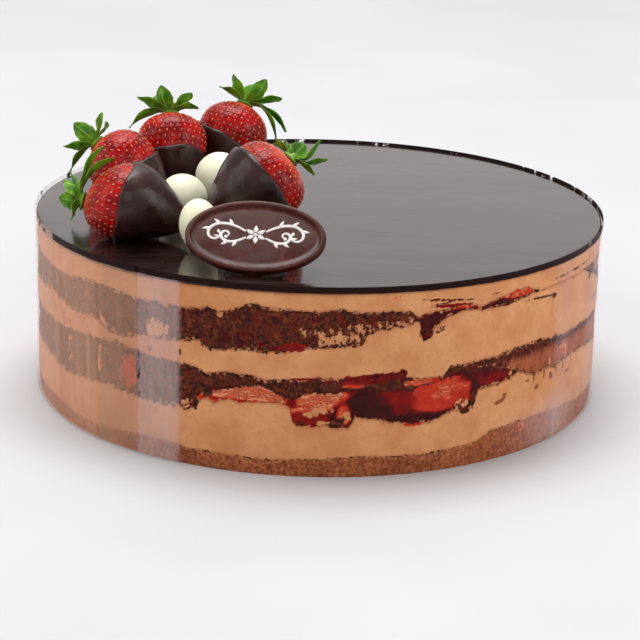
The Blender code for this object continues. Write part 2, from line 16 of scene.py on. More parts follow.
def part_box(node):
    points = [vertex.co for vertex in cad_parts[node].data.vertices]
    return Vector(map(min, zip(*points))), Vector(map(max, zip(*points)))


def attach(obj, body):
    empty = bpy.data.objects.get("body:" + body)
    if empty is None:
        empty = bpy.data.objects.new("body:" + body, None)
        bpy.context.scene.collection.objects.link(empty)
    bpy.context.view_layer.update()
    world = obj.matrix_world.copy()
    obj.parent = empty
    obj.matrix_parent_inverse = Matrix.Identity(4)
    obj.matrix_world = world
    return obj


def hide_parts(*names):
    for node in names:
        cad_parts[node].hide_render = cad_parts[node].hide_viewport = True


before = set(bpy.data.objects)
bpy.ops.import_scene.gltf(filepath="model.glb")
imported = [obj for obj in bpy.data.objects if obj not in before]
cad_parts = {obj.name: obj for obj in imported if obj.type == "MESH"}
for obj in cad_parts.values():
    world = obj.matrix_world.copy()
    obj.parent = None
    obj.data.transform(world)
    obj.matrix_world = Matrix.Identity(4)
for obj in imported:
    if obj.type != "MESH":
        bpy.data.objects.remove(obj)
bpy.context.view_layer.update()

MM = 0.001

# Driving sizes, taken from the frame
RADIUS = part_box("chocolate_glaze")[1].x
GLAZE_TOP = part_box("chocolate_glaze")[1].z
FILM_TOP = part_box("clear_collar")[1].z
FILM_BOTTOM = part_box("clear_collar")[0].z
GAP = 0.3 * MM
MM_PER_DEGREE = math.radians(1) * RADIUS / MM

# Columns round the side: fine where the photograph shows it, coarser behind
FRONT = 76
COLUMNS = np.concatenate([np.arange(-FRONT, FRONT, 0.25), np.arange(FRONT, 360 - FRONT, 0.75)])
SHOWN = 64  # degrees each way for which the tables below hold
ROW = 0.7  # millimetres between rows on the side
RIM_BAND = 18 * MM
MIDDLE_RINGS = (6 * MM, RIM_BAND, 34 * MM)

# Heights of the edges between layers at the front, as (angle, millimetres above the underside)
BASE_TOP = (
    (-60, 5.8), (-50, 4.6), (-43, 5.4), (-38, 6.4), (-33, 7.6), (-28, 7.2), (-24, 6), (-18, 6.3),
    (-10, 5.6), (-6, 5.8), (-3, 6.5), (5, 7.3), (9, 7.8), (14, 7.2), (20, 7), (24, 7.4), (28, 8),
    (31, 8.1), (33, 9.6), (35, 11.8), (42, 12.3), (50, 12.3), (55, 11.2), (60, 10.3), (64, 9.4),
)
LOWER_MOUSSE_TOP = (
    (-64, 22.2), (-60, 20.4), (-55, 21), (-50, 21.8), (-46, 22.5), (-43, 24), (-40, 23), (-35, 22),
    (-30, 22.2), (-26, 22.6), (-24, 21.6), (-22, 25.6), (-20, 27.3), (-19, 25.8), (-16, 28.5), (-14, 27),
    (-12, 28), (-6.5, 28.4), (-5.5, 28), (-4.5, 26), (-4, 21.5), (-3, 19.8), (0, 19.6), (2, 20.5),
    (3, 19.7), (5, 19), (6.5, 20), (7.5, 23.4), (9, 22.8), (12, 22.2), (14, 21), (18, 20), (21, 19.8),
    (24, 20.8), (25.5, 22.3), (27, 23.2), (28.5, 21.6), (30, 22.3), (31, 25), (32, 29.5), (35, 30.2),
    (38, 30.6), (42, 33), (45, 30.5), (47, 29.5), (50, 31), (53, 29.5), (55, 30), (60, 31), (64, 31),
)
LOWER_SPONGE_BOTTOM = (
    *LOWER_MOUSSE_TOP[:10],
    (-24, 24), (-22, 28), (-20, 31), (-18, 31.4), (-15, 33), (-12, 34.5), (-10, 34.8), (-8, 33.4),
    (-5.5, 30.6), (-4, 30.3), (-2, 32.4), (0, 33), (4, 32.6), (6, 34), (10, 34), (12, 33.3), (16, 33.4),
    (18, 32.4), (19, 34), (20, 34.6), (24, 36), (27, 37.2), (32, 38), (36, 37.6), (39, 35),
    *LOWER_MOUSSE_TOP[-8:],
)
LOWER_SPONGE_TOP = (
    (-64, 37.6), (-57, 38), (-53, 39), (-48, 39.6), (-40, 40.8), (-36, 40.5), (-34, 40), (-30, 39.2),
    (-25, 39), (-22, 38.4), (-20.3, 36.4), (-19, 37.7), (-14, 38.3), (-11, 38), (-9, 36.6), (-8, 37.5),
    (-3, 37.4), (1, 38.6), (3, 37.9), (8, 38.7), (12, 39.6), (15, 40), (16, 41.2), (17, 38), (19, 36.9),
    (24, 36.8), (25.5, 40.2), (30, 40.8), (36, 41), (38, 42), (43, 42.8), (48, 42.9), (51, 41.8), (53, 42),
    (56, 41), (64, 41),
)
UPPER_SPONGE_BOTTOM = (
    (-64, 50), (-58, 48.5), (-55, 47.3), (-46, 48), (-43, 45), (-39, 44.5), (-36, 46), (-34, 47.2),
    (-31, 47.6), (-28, 47.5), (-25, 48.5), (-22, 49.5), (-20, 46.8), (-17, 47), (-14, 48.2), (-10, 47.8),
    (-6, 48.2), (-2, 50), (4, 50.6), (8, 51.2), (10, 56), (13, 57.2), (16, 57.6), (18.5, 59.5), (19, 58.5),
    (20, 53.5), (22, 56), (24, 59.4), (28, 61.5), (32, 60.6), (36, 60.7), (40, 61.3), (43, 62), (45, 62.8),
    (47, 62.9), (64, 62.9),
)
UPPER_SPONGE_TOP = (
    (-64, 59.2), (-55, 59.5), (-52, 61), (-45, 61.8), (-40, 61.2), (-35, 60.3), (-30, 61), (-24, 60.8),
    (-20, 62.6), (-18, 60.8), (-16, 62), (-13, 64.5), (-11, 65.3), (-9, 64.2), (-6, 64), (-2, 63.6),
    (2, 63.8), (4, 64.6), (7, 63.8), (10, 63.3), (14, 63.5), (17, 63), (18.5, 61.4), (19, 61.2),
    (21, 62.3), (24, 62.6), (28, 64), (32, 62), (36, 64), (40, 65.4), (43, 65.8), (45, 63.8), (47, 62.9),
    (64, 62.9),
)
FILLING_REACH = (-25, 40)  # degrees where the filling shows
FILLING_PARTS = (-22, 31)  # degrees where the filling keeps the mousse and the sponge well apart
SEAM_REACH = (19, 45)
SPONGE_ABSENT = (19, 72)  # degrees where the upper sponge stays inside
MOUSSE_MEETS = (19, 74)  # degrees where mousse lies on mousse
SPONGE_INSET = 34 * MM
POCKET_DEPTH = 20 * MM

# Heights of each layer near the cake's middle, in millimetres
UNDER_GLAZE = 70.4
MIDDLE_LEVELS = {
    "fine_base_sponge": (0, 7),
    "fine_lower_mousse": (7, 29),
    "fine_lower_sponge": (30, 39),
    "fine_upper_mousse_low": (39.5, 48.5),
    "fine_upper_sponge": (49, 62.5),
    "fine_upper_mousse_high": (63, UNDER_GLAZE),
}

# Patches on the side, by what shows: angle, height, half width in degrees, half height in millimetres,
# slant in degrees, strength and, for jam, its tone from 0 dark red to 1 pale orange
PATCHES = {
    "sponge": (
        (29, 22, 1.1, 0.9, 0, 0.95), (37, 22.8, 1.2, 0.8, 10, 0.95), (38.3, 24.6, 0.5, 1.6, -15, 0.9),
        (47.3, 24.3, 0.6, 1.0, 0, 0.85), (52, 26.6, 0.55, 1.7, 0, 0.95), (58.5, 25, 1.2, 0.7, 0, 0.8),
        (44.5, 28, 0.8, 0.7, 0, 0.7), (-25.7, 43.4, 0.25, 1.5, 0, 0.9), (-32.3, 42.3, 0.5, 1.0, 0, 0.8),
        (-40.6, 41.3, 0.7, 0.8, 0, 0.9), (30.8, 26, 0.3, 3.4, 0, 1.0), (4.2, 21.4, 1.5, 1.5, 20, 0.95),
        (-2.6, 20.6, 0.8, 0.9, 0, 0.8), (25, 66.2, 5.6, 0.42, -6, 0.9), (23.5, 65, 1.8, 0.4, 4, 0.7),
        (47.2, 59.9, 4.6, 0.42, -4, 0.92), (51.5, 58.8, 0.55, 1.1, 0, 1.0), (60, 65.6, 9, 0.55, 1, 0.62),
        (68.5, 59, 1.2, 2.2, 20, 0.7), (12.5, 59.6, 0.8, 1.9, 0, 0.9), (15.8, 59.6, 0.6, 2.0, 10, 0.8),
        (35, 66, 1.0, 0.4, 0, 0.8), (-20, 30, 1.3, 2.6, 20, 0.7), (-22.5, 24.5, 0.6, 2.2, 0, 0.8),
        (28, 24, 0.5, 1.4, 20, 0.7), (15, 34.6, 2.0, 1.1, 0, 0.9), (46.4, 28.6, 0.34, 1.8, 0, 0.85),
        (49.6, 28.6, 0.28, 2.2, 0, 0.85), (53.8, 28, 0.3, 1.6, 0, 0.85), (56.6, 28.4, 0.26, 2.0, 0, 0.85),
        (60.2, 29, 0.3, 1.7, 0, 0.85), (20.6, 53.6, 1.6, 1.9, 10, 0.75), (23.4, 55.4, 0.9, 1.4, 0, 0.6),
    ),
    "mousse": (
        (4.5, 54.4, 5.2, 3.6, 0, 0.5), (8.5, 57, 3.4, 2.8, 0, 0.49), (3, 51.4, 3.2, 1.4, 0, 0.56),
        (14, 58.4, 4.4, 1.7, 0, 0.5), (17.6, 60, 1.6, 1.5, 0, 0.4), (-8, 50.2, 5.5, 1.0, 0, 0.4),
        (-31.2, 50.4, 1.9, 3.4, 0, 1.0), (-28.6, 51, 0.6, 2.2, 0, 0.7), (-17.8, 60.4, 0.7, 1.5, -15, 0.75),
        (0.4, 25.4, 2.8, 1.8, 10, 0.58), (5.8, 24.2, 1.3, 2.0, -20, 0.54), (1.5, 21.2, 1.6, 0.9, 0, 0.75),
        (28.2, 25.4, 2.2, 2.2, 30, 0.56), (-24.4, 24, 1.2, 1.6, 0, 0.8), (-56, 30, 1.0, 8, 0, 0.42),
        (-45.6, 33, 0.5, 8, 0, 0.75), (-44.3, 47, 0.9, 4.6, 12, 0.8), (40.5, 32, 1.5, 2.2, 0, 0.5),
        (-2.4, 56, 0.6, 2.5, 15, 0.5), (51.4, 32, 0.3, 2.6, 0, 0.8), (57.6, 33, 0.34, 3.0, 0, 0.8),
        (76, 60, 5, 3.6, 0, 0.62),
    ),
    "jam": (
        (10.5, 38.2, 6.6, 1.8, 3, 0.95, 0.2), (16.2, 39.6, 0.8, 1.6, 0, 1.0, 0.15),
        (20.5, 35.6, 3.6, 1.2, 0, 1.0, 0.8), (31, 36.6, 6.4, 1.5, 2, 1.0, 0.1),
        (7, 35.6, 2.0, 0.9, 0, 0.9, 0.75), (-1.5, 38.2, 3.2, 0.5, 2, 0.8, 0.35),
        (-37.6, 31, 2.2, 7.5, 0, 0.74, 0.6), (56.5, 35, 2.6, 4.2, 0, 0.56, 0.95),
        (-7, 49.3, 1.4, 1.0, 0, 0.9, 0.15), (-3.8, 50.2, 2.0, 1.6, 0, 0.95, 0.35),
        (-10, 50.6, 0.9, 0.9, 0, 0.7, 0.15), (20.4, 56.2, 1.2, 4.2, -8, 1.0, 0.1),
        (23.4, 60.9, 3.3, 1.5, 12, 1.0, 0.08), (14.5, 68, 1.3, 1.8, 0, 0.5, 1.0),
        (43.5, 9.6, 2.3, 2.6, 0, 0.6, 0.95), (36.5, 3.6, 1.0, 1.4, 0, 0.5, 0.95),
        (-1, 22.6, 2.0, 2.0, 0, 0.9, 0.35), (5.4, 27, 1.0, 3.0, 0, 0.9, 0.85),
        (18.5, 19.8, 2.0, 0.8, 0, 0.9, 0.5), (-58, 41.5, 4.5, 2.4, 0, 0.5, 0.9),
        (-16, 52, 6, 4, 0, 0.45, 0.1), (0.5, 61, 3, 2, 0, 0.42, 0.1), (-55, 52, 4.5, 3, 0, 0.46, 0.1),
        (-42, 50, 4.2, 5, -25, 0.52, 0.05), (26, 64, 4.6, 0.7, -3, 0.9, 0.3),
        (40, 63.8, 3.0, 1.8, 8, 1.0, 0.8), (36.5, 61.8, 3.2, 1.1, -6, 1.0, 0.2),
    ),
}
# The filling's own tones: angle, height, half width in degrees, half height in millimetres and tone
FILLING_TONES = (
    (-12, 30.6, 13, 4.8, 1.0), (-13, 27.8, 10, 0.8, 0.45), (1.4, 31, 3.6, 2.4, 0.95),
    (-4.2, 29, 0.9, 2.2, 0.25), (15, 29.6, 3.0, 3.0, 0.3), (23, 29.8, 4.2, 4.4, 0.62),
    (26.2, 32, 3.8, 3.2, 0.8), (28.5, 29, 2.0, 2.4, 0.5), (33, 35, 4.5, 1.6, 0.12),
    (-1.2, 22.6, 2.6, 2.6, 0.35), (9, 27, 4.0, 4.2, 0.0), (5.4, 25, 1.0, 3.0, 0.85),
    (20, 21.6, 5.0, 1.4, 0.02), (31, 30, 0.8, 4.0, 0.05), (36.5, 33, 3.5, 1.6, 0.3),
    (41, 64.6, 3.4, 1.3, 0.72), (29, 63.2, 3.0, 0.7, 0.55), (35.5, 61.4, 2.6, 0.9, 0.08),
    (22, 57, 2.4, 3, 0.06),
)
BACK_PATCHES = 150
SIDE_VALUES = ("mousse", "sponge", "jam", "tone", "edge", "warm")
EDGE_BAND = 1.6 * MM  # how far a layer's darker edge reaches into it
SEED = 11

# Strawberries, as in the solids: crown and the point that the tip aims at, with heights above the glaze
BERRIES = {
    "front_left": dict(
        crown=(-89.6, -52.2, 13.8), aim=(-49.7, -56.3, 6.4), length=40.9, width=29.6, shoulder=0.66,
        taper=0.84, bend=-4.1, dip=(0.37, 0.02, 0.02),
        leaves=((-7, 7.5, 1), (-8.3, 2, 4), (7.6, 19.9, -6), (11.5, 14.8, -8), (-3, -5, 9), (-6, 9, -10),
                (2, 8, -13))),
    "rear_left": dict(
        crown=(-90.5, 4, 22), aim=(-67, -4, 5), length=34, width=29, shoulder=0.68, dip=(0.56, 0.05, 0.0),
        leaves=((-9, 8, 1), (-13, -1, 4), (2, 12, -2), (-10, -11, 5), (4, 5, -11), (-5, -4, -11))),
    "middle": dict(
        crown=(-63.5, 36, 28.5), aim=(-60.5, 19, 2), length=32.5, width=28, shoulder=0.66,
        dip=(0.60, -0.06, 0.0),
        leaves=((-4, 12, 1), (-14, 7, 2), (9, 9, 1), (12, 3, 3), (-17, -6, 4), (6, 5, -11), (-7, 5, -11))),
    "rear_right": dict(
        crown=(-33.5, 55, 29), aim=(-45, 40, 2), length=34, width=28.5, shoulder=0.70,
        dip=(0.50, 0.0, -0.09),
        leaves=((-5, 13, 1), (-11, 7.5, 2), (9, 11, 1), (16, 3, 2), (18, -11, 5), (14, -15, 10),
                (3, 6, -12), (-8, 4, -10))),
    "front_right": dict(
        crown=(-12.2, -34.4, 27.3), aim=(-41.7, -45.3, 2.2), length=40.3, width=32.6, shoulder=0.58,
        dip=(0.30, -0.02, 0.0),
        leaves=((11, 6.9, -3), (14, 0.1, 0), (9.1, -5.1, 5), (-2.2, 4.6, -8), (5.2, 3.5, -10), (-7, 3, -9))),
}
UNEVEN = 0.035
SUNK = 1.2 * MM
DIP_CLEARANCE = 0.45 * MM
DIP_THICKNESS = 1.2 * MM
BERRY_COLUMNS, BERRY_ROWS = 112, 84
SEED_SPACING = 3.1 * MM
PIT_RADIUS = 1.25 * MM
PIT_DEPTH = 0.34 * MM
FLESH = 0.25 * MM  # how far the skin stands out from the berry's plain form
DIP_COLUMNS, DIP_ROWS = 96, 44
LEAF_WIDTH = 8.4 * MM
LEAF_CLEARANCE = 0.9 * MM
LEAF_THICKNESS = 0.34 * MM
LEAF_ROWS, LEAF_COLUMNS = 18, 9

# The plaque, as in the solids
PLAQUE_HALF = (25.8 * MM, 15.6 * MM)
PLAQUE_THICKNESS = 3 * MM
PLAQUE_RIM = (2.2 * MM, 0.7 * MM)
PLAQUE_FOOT = (-23.4 * MM, -100.5 * MM)
PLAQUE_LEAN, PLAQUE_ROLL = 40, -1.5
DAB_BEHIND = 5.5 * MM
DAB_HALF = (12 * MM, 6 * MM, 5.5 * MM)

# How much painted reflection the film shows at angles round the cake, with the milky haze of the double film
# where it laps and next to none where it clings
HAZE_AND_REFLECTION_ANGLES = (-88, -80, -74, -46, -44, -35.4, -34.6, -26.2, -25.2, 50, 55, 60, 64, 70, 80, 88)
HAZE_AND_REFLECTION_SHARES = (0.2, 0.5, 0.36, 0.35, 0.16, 0.13, 0.3, 0.28, 0.0, 0.0, 0.14, 0.08, 0.1, 0.22, 0.34, 0.1)

# Camera, solved from the photograph
LENS = 115.72
CAMERA_DISTANCE = 863.12 * MM
CAMERA_ELEVATION = 19.634
CAMERA_PITCH = 18.163
CAMERA_YAW = 0.101
CAMERA_ROLL = 1.45


def srgb(*levels):
    """A linear colour from 8 bit sRGB values."""
    return tuple(((c / 255 + 0.055) / 1.055) ** 2.4 if c > 10 else c / 255 / 12.92 for c in levels)


class Graph:
    """Short calls that build the nodes of one material. Patterns are measured in millimetres."""

    def __init__(self, name):
        self.material = bpy.data.materials.new(name)
        self.material.use_nodes = True
        self.tree = self.material.node_tree
        self.shader = self.tree.nodes["Principled BSDF"]
        place = self.node("ShaderNodeTexCoord").outputs["Object"]
        self.place = self.stretched((1000, 1000, 1000), place)

    def node(self, kind, **settings):
        made = self.tree.nodes.new(kind)
        for key, value in settings.items():
            setattr(made, key, value)
        return made

    def put(self, socket, value):
        if isinstance(value, bpy.types.NodeSocket):
            self.tree.links.new(value, socket)
        elif isinstance(value, tuple) and len(value) == 3 and socket.type == "RGBA":
            socket.default_value = (*value, 1)
        else:
            socket.default_value = value

    def set(self, **values):
        """Sets or links the shader's sockets, such as Base_Color."""
        for key, value in values.items():
            self.put(self.shader.inputs[key.replace("_", " ")], value)

    def stretched(self, scale, place=None):
        made = self.node("ShaderNodeMapping")
        self.put(made.inputs["Vector"], place or self.place)
        made.inputs["Scale"].default_value = scale
        return made.outputs["Vector"]

    def noise(self, size, detail=3.0, roughness=0.55, place=None, distortion=0.0):
        made = self.node("ShaderNodeTexNoise")
        self.put(made.inputs["Vector"], place or self.place)
        for key, value in (("Scale", 1 / size), ("Detail", detail), ("Roughness", roughness),
                           ("Distortion", distortion)):
            made.inputs[key].default_value = value
        return made.outputs["Fac"]

    def cells(self, size):
        made = self.node("ShaderNodeTexVoronoi")
        self.put(made.inputs["Vector"], self.place)
        made.inputs["Scale"].default_value = 1 / size
        return made.outputs["Distance"]

    def remap(self, value, low, high, to_low=0.0, to_high=1.0):
        made = self.node("ShaderNodeMapRange", interpolation_type="SMOOTHSTEP")
        for key, given in (("Value", value), ("From Min", low), ("From Max", high), ("To Min", to_low),
                           ("To Max", to_high)):
            self.put(made.inputs[key], given)
        return made.outputs["Result"]

    def patchy(self, size, detail, low, high, to_low=0.0, to_high=1.0):
        """Noise with features of a size in millimetres, spread between two values."""
        return self.remap(self.noise(size, detail), low, high, to_low, to_high)

    def math(self, operation, first, second=0.0):
        made = self.node("ShaderNodeMath", operation=operation)
        self.put(made.inputs[0], first)
        self.put(made.inputs[1], second)
        return made.outputs["Value"]

    def plus(self, first, second):
        return self.math("ADD", first, second)

    def minus(self, first, second):
        return self.math("SUBTRACT", first, second)

    def times(self, first, second):
        return self.math("MULTIPLY", first, second)

    def mix(self, share, first, second):
        made = self.node("ShaderNodeMix", data_type="RGBA")
        self.put(made.inputs["Factor"], share)
        self.put(made.inputs[6], first)
        self.put(made.inputs[7], second)
        return made.outputs[2]

    def attribute(self, name):
        return self.node("ShaderNodeAttribute", attribute_name=name).outputs["Fac"]

    def bump(self, height, distance, strength=1.0, normal=None):
        """distance is the height in metres that a value of 1 stands for."""
        made = self.node("ShaderNodeBump")
        made.inputs["Strength"].default_value = strength
        made.inputs["Distance"].default_value = distance
        self.put(made.inputs["Height"], height)
        if normal:
            self.put(made.inputs["Normal"], normal)
        return made.outputs["Normal"]


def mousse_colour(g):
    tint = g.mix(g.patchy(14, 2, 0.35, 0.65), srgb(206, 138, 90), srgb(219, 156, 106))
    tint = g.mix(g.remap(g.noise(2.2, 4, 0.65), 0.42, 0.72, 0, 0.35), tint, srgb(188, 115, 70))
    soaked = g.remap(g.plus(g.attribute("edge"), g.noise(2.6, 3)), 0.7, 1.5, 0, 0.5)
    tint = g.mix(soaked, tint, srgb(170, 98, 56))
    bubbles = g.remap(g.cells(1.1), 0.10, 0.2, 1, 0)
    sparse = g.patchy(5, 2, 0.5, 0.62)
    return g.mix(g.times(g.times(bubbles, sparse), 0.5), tint, srgb(150, 92, 58))


def base_colour(g):
    tint = g.mix(g.remap(g.noise(1.3, 5, 0.7), 0.36, 0.66), srgb(136, 68, 38), srgb(196, 118, 76))
    tint = g.mix(g.patchy(6, 3, 0.42, 0.68, 0, 0.5), tint, srgb(118, 56, 32))
    pores = g.remap(g.cells(1.0), 0.1, 0.26, 0.5, 0)
    return g.mix(pores, tint, srgb(74, 30, 16))


def sponge_colour(g):
    """Dark crumb with redder and paler lumps, darkest along its edges, and pale brown where it is warm."""
    tint = g.mix(g.remap(g.noise(1.5, 5, 0.75), 0.38, 0.66), srgb(42, 12, 5), srgb(130, 58, 32))
    tint = g.mix(g.remap(g.noise(4.6, 4, 0.6), 0.47, 0.66, 0, 0.8), tint, srgb(98, 24, 12))
    tint = g.mix(g.remap(g.noise(3.6, 4, 0.65, distortion=0.5), 0.5, 0.62, 0, 0.7), tint, srgb(28, 8, 5))
    warm = g.attribute("warm")
    streaks = g.noise(2.6, 5, 0.7, g.stretched((1, 1, 0.4)))
    warmed = g.times(g.remap(g.plus(warm, streaks), 0.85, 1.4), g.remap(warm, 0, 0.3))
    tint = g.mix(warmed, tint, srgb(178, 96, 62))
    pores = g.remap(g.cells(1.0), 0.12, 0.32, 0.5, 0)
    tint = g.mix(pores, tint, srgb(26, 8, 5))
    crust = g.remap(g.plus(g.attribute("edge"), g.noise(1.8, 3)), 0.85, 1.35, 0, 0.7)
    return g.mix(crust, tint, srgb(42, 15, 9))


def jam_colour(g, tone):
    varied = g.plus(tone, g.times(g.minus(g.noise(2.6, 4, 0.55), 0.5), 0.7))
    red = g.mix(g.remap(varied, 0.02, 0.4), srgb(50, 0, 0), srgb(128, 3, 1))
    red = g.mix(g.remap(varied, 0.36, 0.66), red, srgb(200, 50, 24))
    swirl = g.noise(3.4, 5, 0.65, g.stretched((0.6, 0.6, 1.3)), distortion=1.4)
    flesh = g.mix(g.remap(swirl, 0.38, 0.62), srgb(202, 84, 50), srgb(226, 146, 104))
    pale = g.mix(g.remap(varied, 0.62, 1.0), red, flesh)
    veins = g.remap(g.math("ABSOLUTE", g.minus(swirl, 0.5)), 0.005, 0.045, 0.85, 0)
    veins = g.times(veins, g.remap(varied, 0.45, 0.75))
    return g.mix(veins, pale, srgb(132, 22, 10))


def side_material(name, own):
    """What a layer shows at the cake's side: its own stuff with ragged patches of the others."""
    g = Graph(name)
    colours = {"mousse": mousse_colour(g), "jam": jam_colour(g, g.attribute("tone"))}
    if own == "base":
        colours["base"] = base_colour(g)
    colours["sponge"] = sponge_colour(g)
    glosses = {"mousse": 0.45, "jam": 0.2, "base": 0.8, "sponge": 0.72}
    colour, gloss = colours[own], glosses[own]
    crumb = g.plus(g.noise(0.9, 4, 0.7), g.times(g.cells(1.1), 0.6))
    heights = {"mousse": g.times(g.noise(0.8, 3), 0.12), "jam": g.times(g.noise(3.2, 2), 0.4),
               "base": crumb, "sponge": crumb}
    height = heights[own]
    for other, size, wobble in (("mousse", 1.8, 2.3), ("sponge", 1.5, 2.1), ("jam", 2.2, 1.8)):
        if other == own:
            continue
        amount = g.attribute(other)
        ragged = g.minus(g.noise(size, 5, 0.66, g.stretched((1, 1, 0.75))), 0.5)
        wobbling = g.times(ragged, g.remap(amount, 0, 0.25, 0.5, wobble))
        share = g.remap(g.plus(amount, wobbling), 0.44, 0.56)
        colour = g.mix(share, colour, colours[other])
        gloss = g.remap(share, 0, 1, gloss, glosses[other])
        height = g.remap(share, 0, 1, height, heights[other])
    g.set(Base_Color=colour, Roughness=gloss, Normal=g.bump(height, 0.5 * MM, 0.8))
    g.set(Specular_IOR_Level=0.08)
    return g.material


def chocolate_material(name, colour, light, roughness, waviness, shine):
    """Set chocolate: near even, with a faint bloom, fine waves and a soft sheen."""
    g = Graph(name)
    g.set(Base_Color=g.mix(g.patchy(9, 3, 0.35, 0.7), colour, light))
    g.set(Roughness=g.remap(g.noise(7, 4, 0.6), 0.3, 0.7, roughness * 0.75, roughness * 1.35))
    waves = g.plus(g.noise(5.5, 2), g.times(g.noise(1.6, 2), 0.12))
    g.set(Normal=g.bump(waves, waviness, 0.6))
    g.set(Specular_IOR_Level=shine)
    return g.material


def glaze_material():
    """The poured glaze: almost black, mirror like, with faint combed streaks across it."""
    g = Graph("glaze")
    tint = g.mix(g.patchy(22, 3, 0.3, 0.7), srgb(26, 13, 11), srgb(46, 30, 27))
    streaks = g.noise(3.0, 4, 0.6, g.stretched((0.035, 1, 1)))
    dust = g.patchy(0.9, 2, 0.70, 0.76, 0, 0.5)
    tint = g.mix(g.remap(streaks, 0.42, 0.68, 0, 0.42), tint, srgb(72, 60, 58))
    side = g.attribute("side")
    g.set(Base_Color=g.mix(dust, tint, srgb(92, 66, 56)))
    g.set(Roughness=g.remap(streaks, 0.3, 0.75, 0.1, 0.18))
    g.set(Specular_IOR_Level=g.remap(side, 0, 1, 0.75, 0.1), Coat_Weight=g.remap(side, 0, 1, 0.6, 0))
    swell = g.bump(g.noise(26, 2, 0.4, g.stretched((0.4, 1, 1))), 0.6 * MM, 0.4)
    swell = g.bump(g.noise(8, 2, 0.4, g.stretched((0.6, 1, 1))), 0.08 * MM, 0.5, swell)
    g.set(Normal=g.bump(streaks, 0.05 * MM, 0.22, swell))
    g.set(Coat_Roughness=0.08)
    return g.material


def berry_material():
    g = Graph("berry_skin")
    along = g.attribute("along")
    pit = g.attribute("pit")
    red = g.mix(g.patchy(6, 3, 0.35, 0.68), srgb(124, 2, 3), srgb(180, 8, 6))
    red = g.mix(g.remap(along, 0.0, 0.13, 0.75, 0), red, srgb(224, 96, 66))
    # Painted shade: darker red in the seed pits
    red = g.mix(g.remap(pit, 0.3, 0.95, 0, 0.42), red, srgb(78, 1, 3))
    blush = g.patchy(2.1, 3, 0.58, 0.75, 0, 0.25)
    g.set(Base_Color=g.mix(blush, red, srgb(206, 36, 24)))
    g.set(Roughness=g.patchy(1.2, 3, 0.3, 0.7, 0.2, 0.34))
    g.set(Normal=g.bump(g.noise(0.7, 3, 0.6), 0.05 * MM, 0.5))
    g.set(Subsurface_Weight=0.12, Subsurface_Radius=(1.0, 0.25, 0.15), Subsurface_Scale=2.2 * MM)
    g.set(Specular_IOR_Level=0.22)
    return g.material


def seed_material():
    g = Graph("berry_seed")
    tint = g.mix(g.patchy(4, 2, 0.4, 0.6), srgb(190, 92, 56), srgb(216, 134, 88))
    g.set(Base_Color=g.mix(g.patchy(0.5, 2, 0.45, 0.7, 0, 0.5), tint, srgb(150, 70, 30)), Roughness=0.35)
    g.set(Normal=g.bump(g.noise(0.3, 2), 0.05 * MM, 0.5))
    return g.material


def leaf_material():
    g = Graph("leaf")
    along, across = g.attribute("along"), g.attribute("across")
    green = g.mix(g.patchy(5, 3, 0.35, 0.66), srgb(50, 104, 10), srgb(106, 158, 28))
    green = g.mix(g.remap(along, 0.0, 0.3, 0.55, 0), green, srgb(150, 186, 84))
    vein = g.remap(across, 0.0, 0.16, 0.7, 0)
    green = g.mix(vein, green, srgb(138, 178, 72))
    green = g.mix(g.remap(across, 0.78, 1.0, 0, 0.35), green, srgb(168, 190, 104))
    g.set(Base_Color=green, Roughness=g.patchy(2, 3, 0.3, 0.7, 0.34, 0.55))
    ribs = g.math("SINE", g.plus(g.times(along, 60.0), g.times(across, -9.0)))
    height = g.plus(g.times(ribs, 0.25), g.noise(0.8, 3))
    g.set(Normal=g.bump(height, 0.12 * MM, 0.6))
    g.set(Subsurface_Weight=0.12, Subsurface_Radius=(0.4, 1.0, 0.1), Subsurface_Scale=1.0 * MM)
    g.set(Specular_IOR_Level=0.25)
    return g.material


def white_material():
    """White chocolate: cream coloured, soft and faintly uneven."""
    g = Graph("white_chocolate")
    tint = g.mix(g.patchy(5, 3, 0.35, 0.7), srgb(250, 246, 208), srgb(254, 250, 224))
    specks = g.remap(g.noise(0.8, 3, 0.6), 0.64, 0.74, 0, 0.3)
    g.set(Base_Color=g.mix(specks, tint, srgb(222, 208, 150)))
    g.set(Roughness=g.patchy(2, 3, 0.3, 0.7, 0.34, 0.55))
    g.set(Normal=g.bump(g.plus(g.noise(3, 2), g.times(g.noise(0.6, 2), 0.25)), 0.14 * MM, 0.5))
    g.set(Subsurface_Weight=0.25, Subsurface_Radius=(1.0, 0.9, 0.6), Subsurface_Scale=2.0 * MM)
    return g.material


def film_material():
    """Clear film: all but invisible where it clings, with a painted reflection elsewhere and milky where it
    laps, smudged at its top.
    """
    g = Graph("film")
    veil, smudge = g.attribute("veil"), g.attribute("smudge")
    upright = g.stretched((1, 1, 0.06))
    folds = g.remap(g.noise(4.5, 4, 0.6, upright), 0.3, 0.7, 0.78, 1.15)
    # Painted reflection, with the haze of the double film where it laps, given as the film's colour and
    # alpha
    haze_and_reflection_amount = g.times(veil, folds)
    broken = g.times(g.minus(g.noise(5, 4, 0.65), 0.5), 1.6)
    smear = g.remap(g.plus(smudge, g.times(broken, g.remap(smudge, 0, 0.3))), 0.44, 0.56)
    # The colour of the painted reflection, warm or cool tinted
    veil_tint = g.mix(g.attribute("cool"), srgb(244, 188, 156), srgb(242, 212, 206))
    g.set(Base_Color=g.mix(smear, veil_tint, srgb(34, 15, 11)))
    g.set(Specular_IOR_Level=g.remap(smear, 0, 1, 0.5, 0.08))
    g.set(Alpha=g.math("MAXIMUM", g.plus(haze_and_reflection_amount, 0.004), g.times(smear, 0.92)))
    g.set(Roughness=g.plus(g.patchy(9, 3, 0.3, 0.7, 0.04, 0.12), g.times(smear, 0.4)))
    g.set(Normal=g.bump(g.noise(16, 2, 0.4, upright), 0.6 * MM, 0.5))
    return g.material


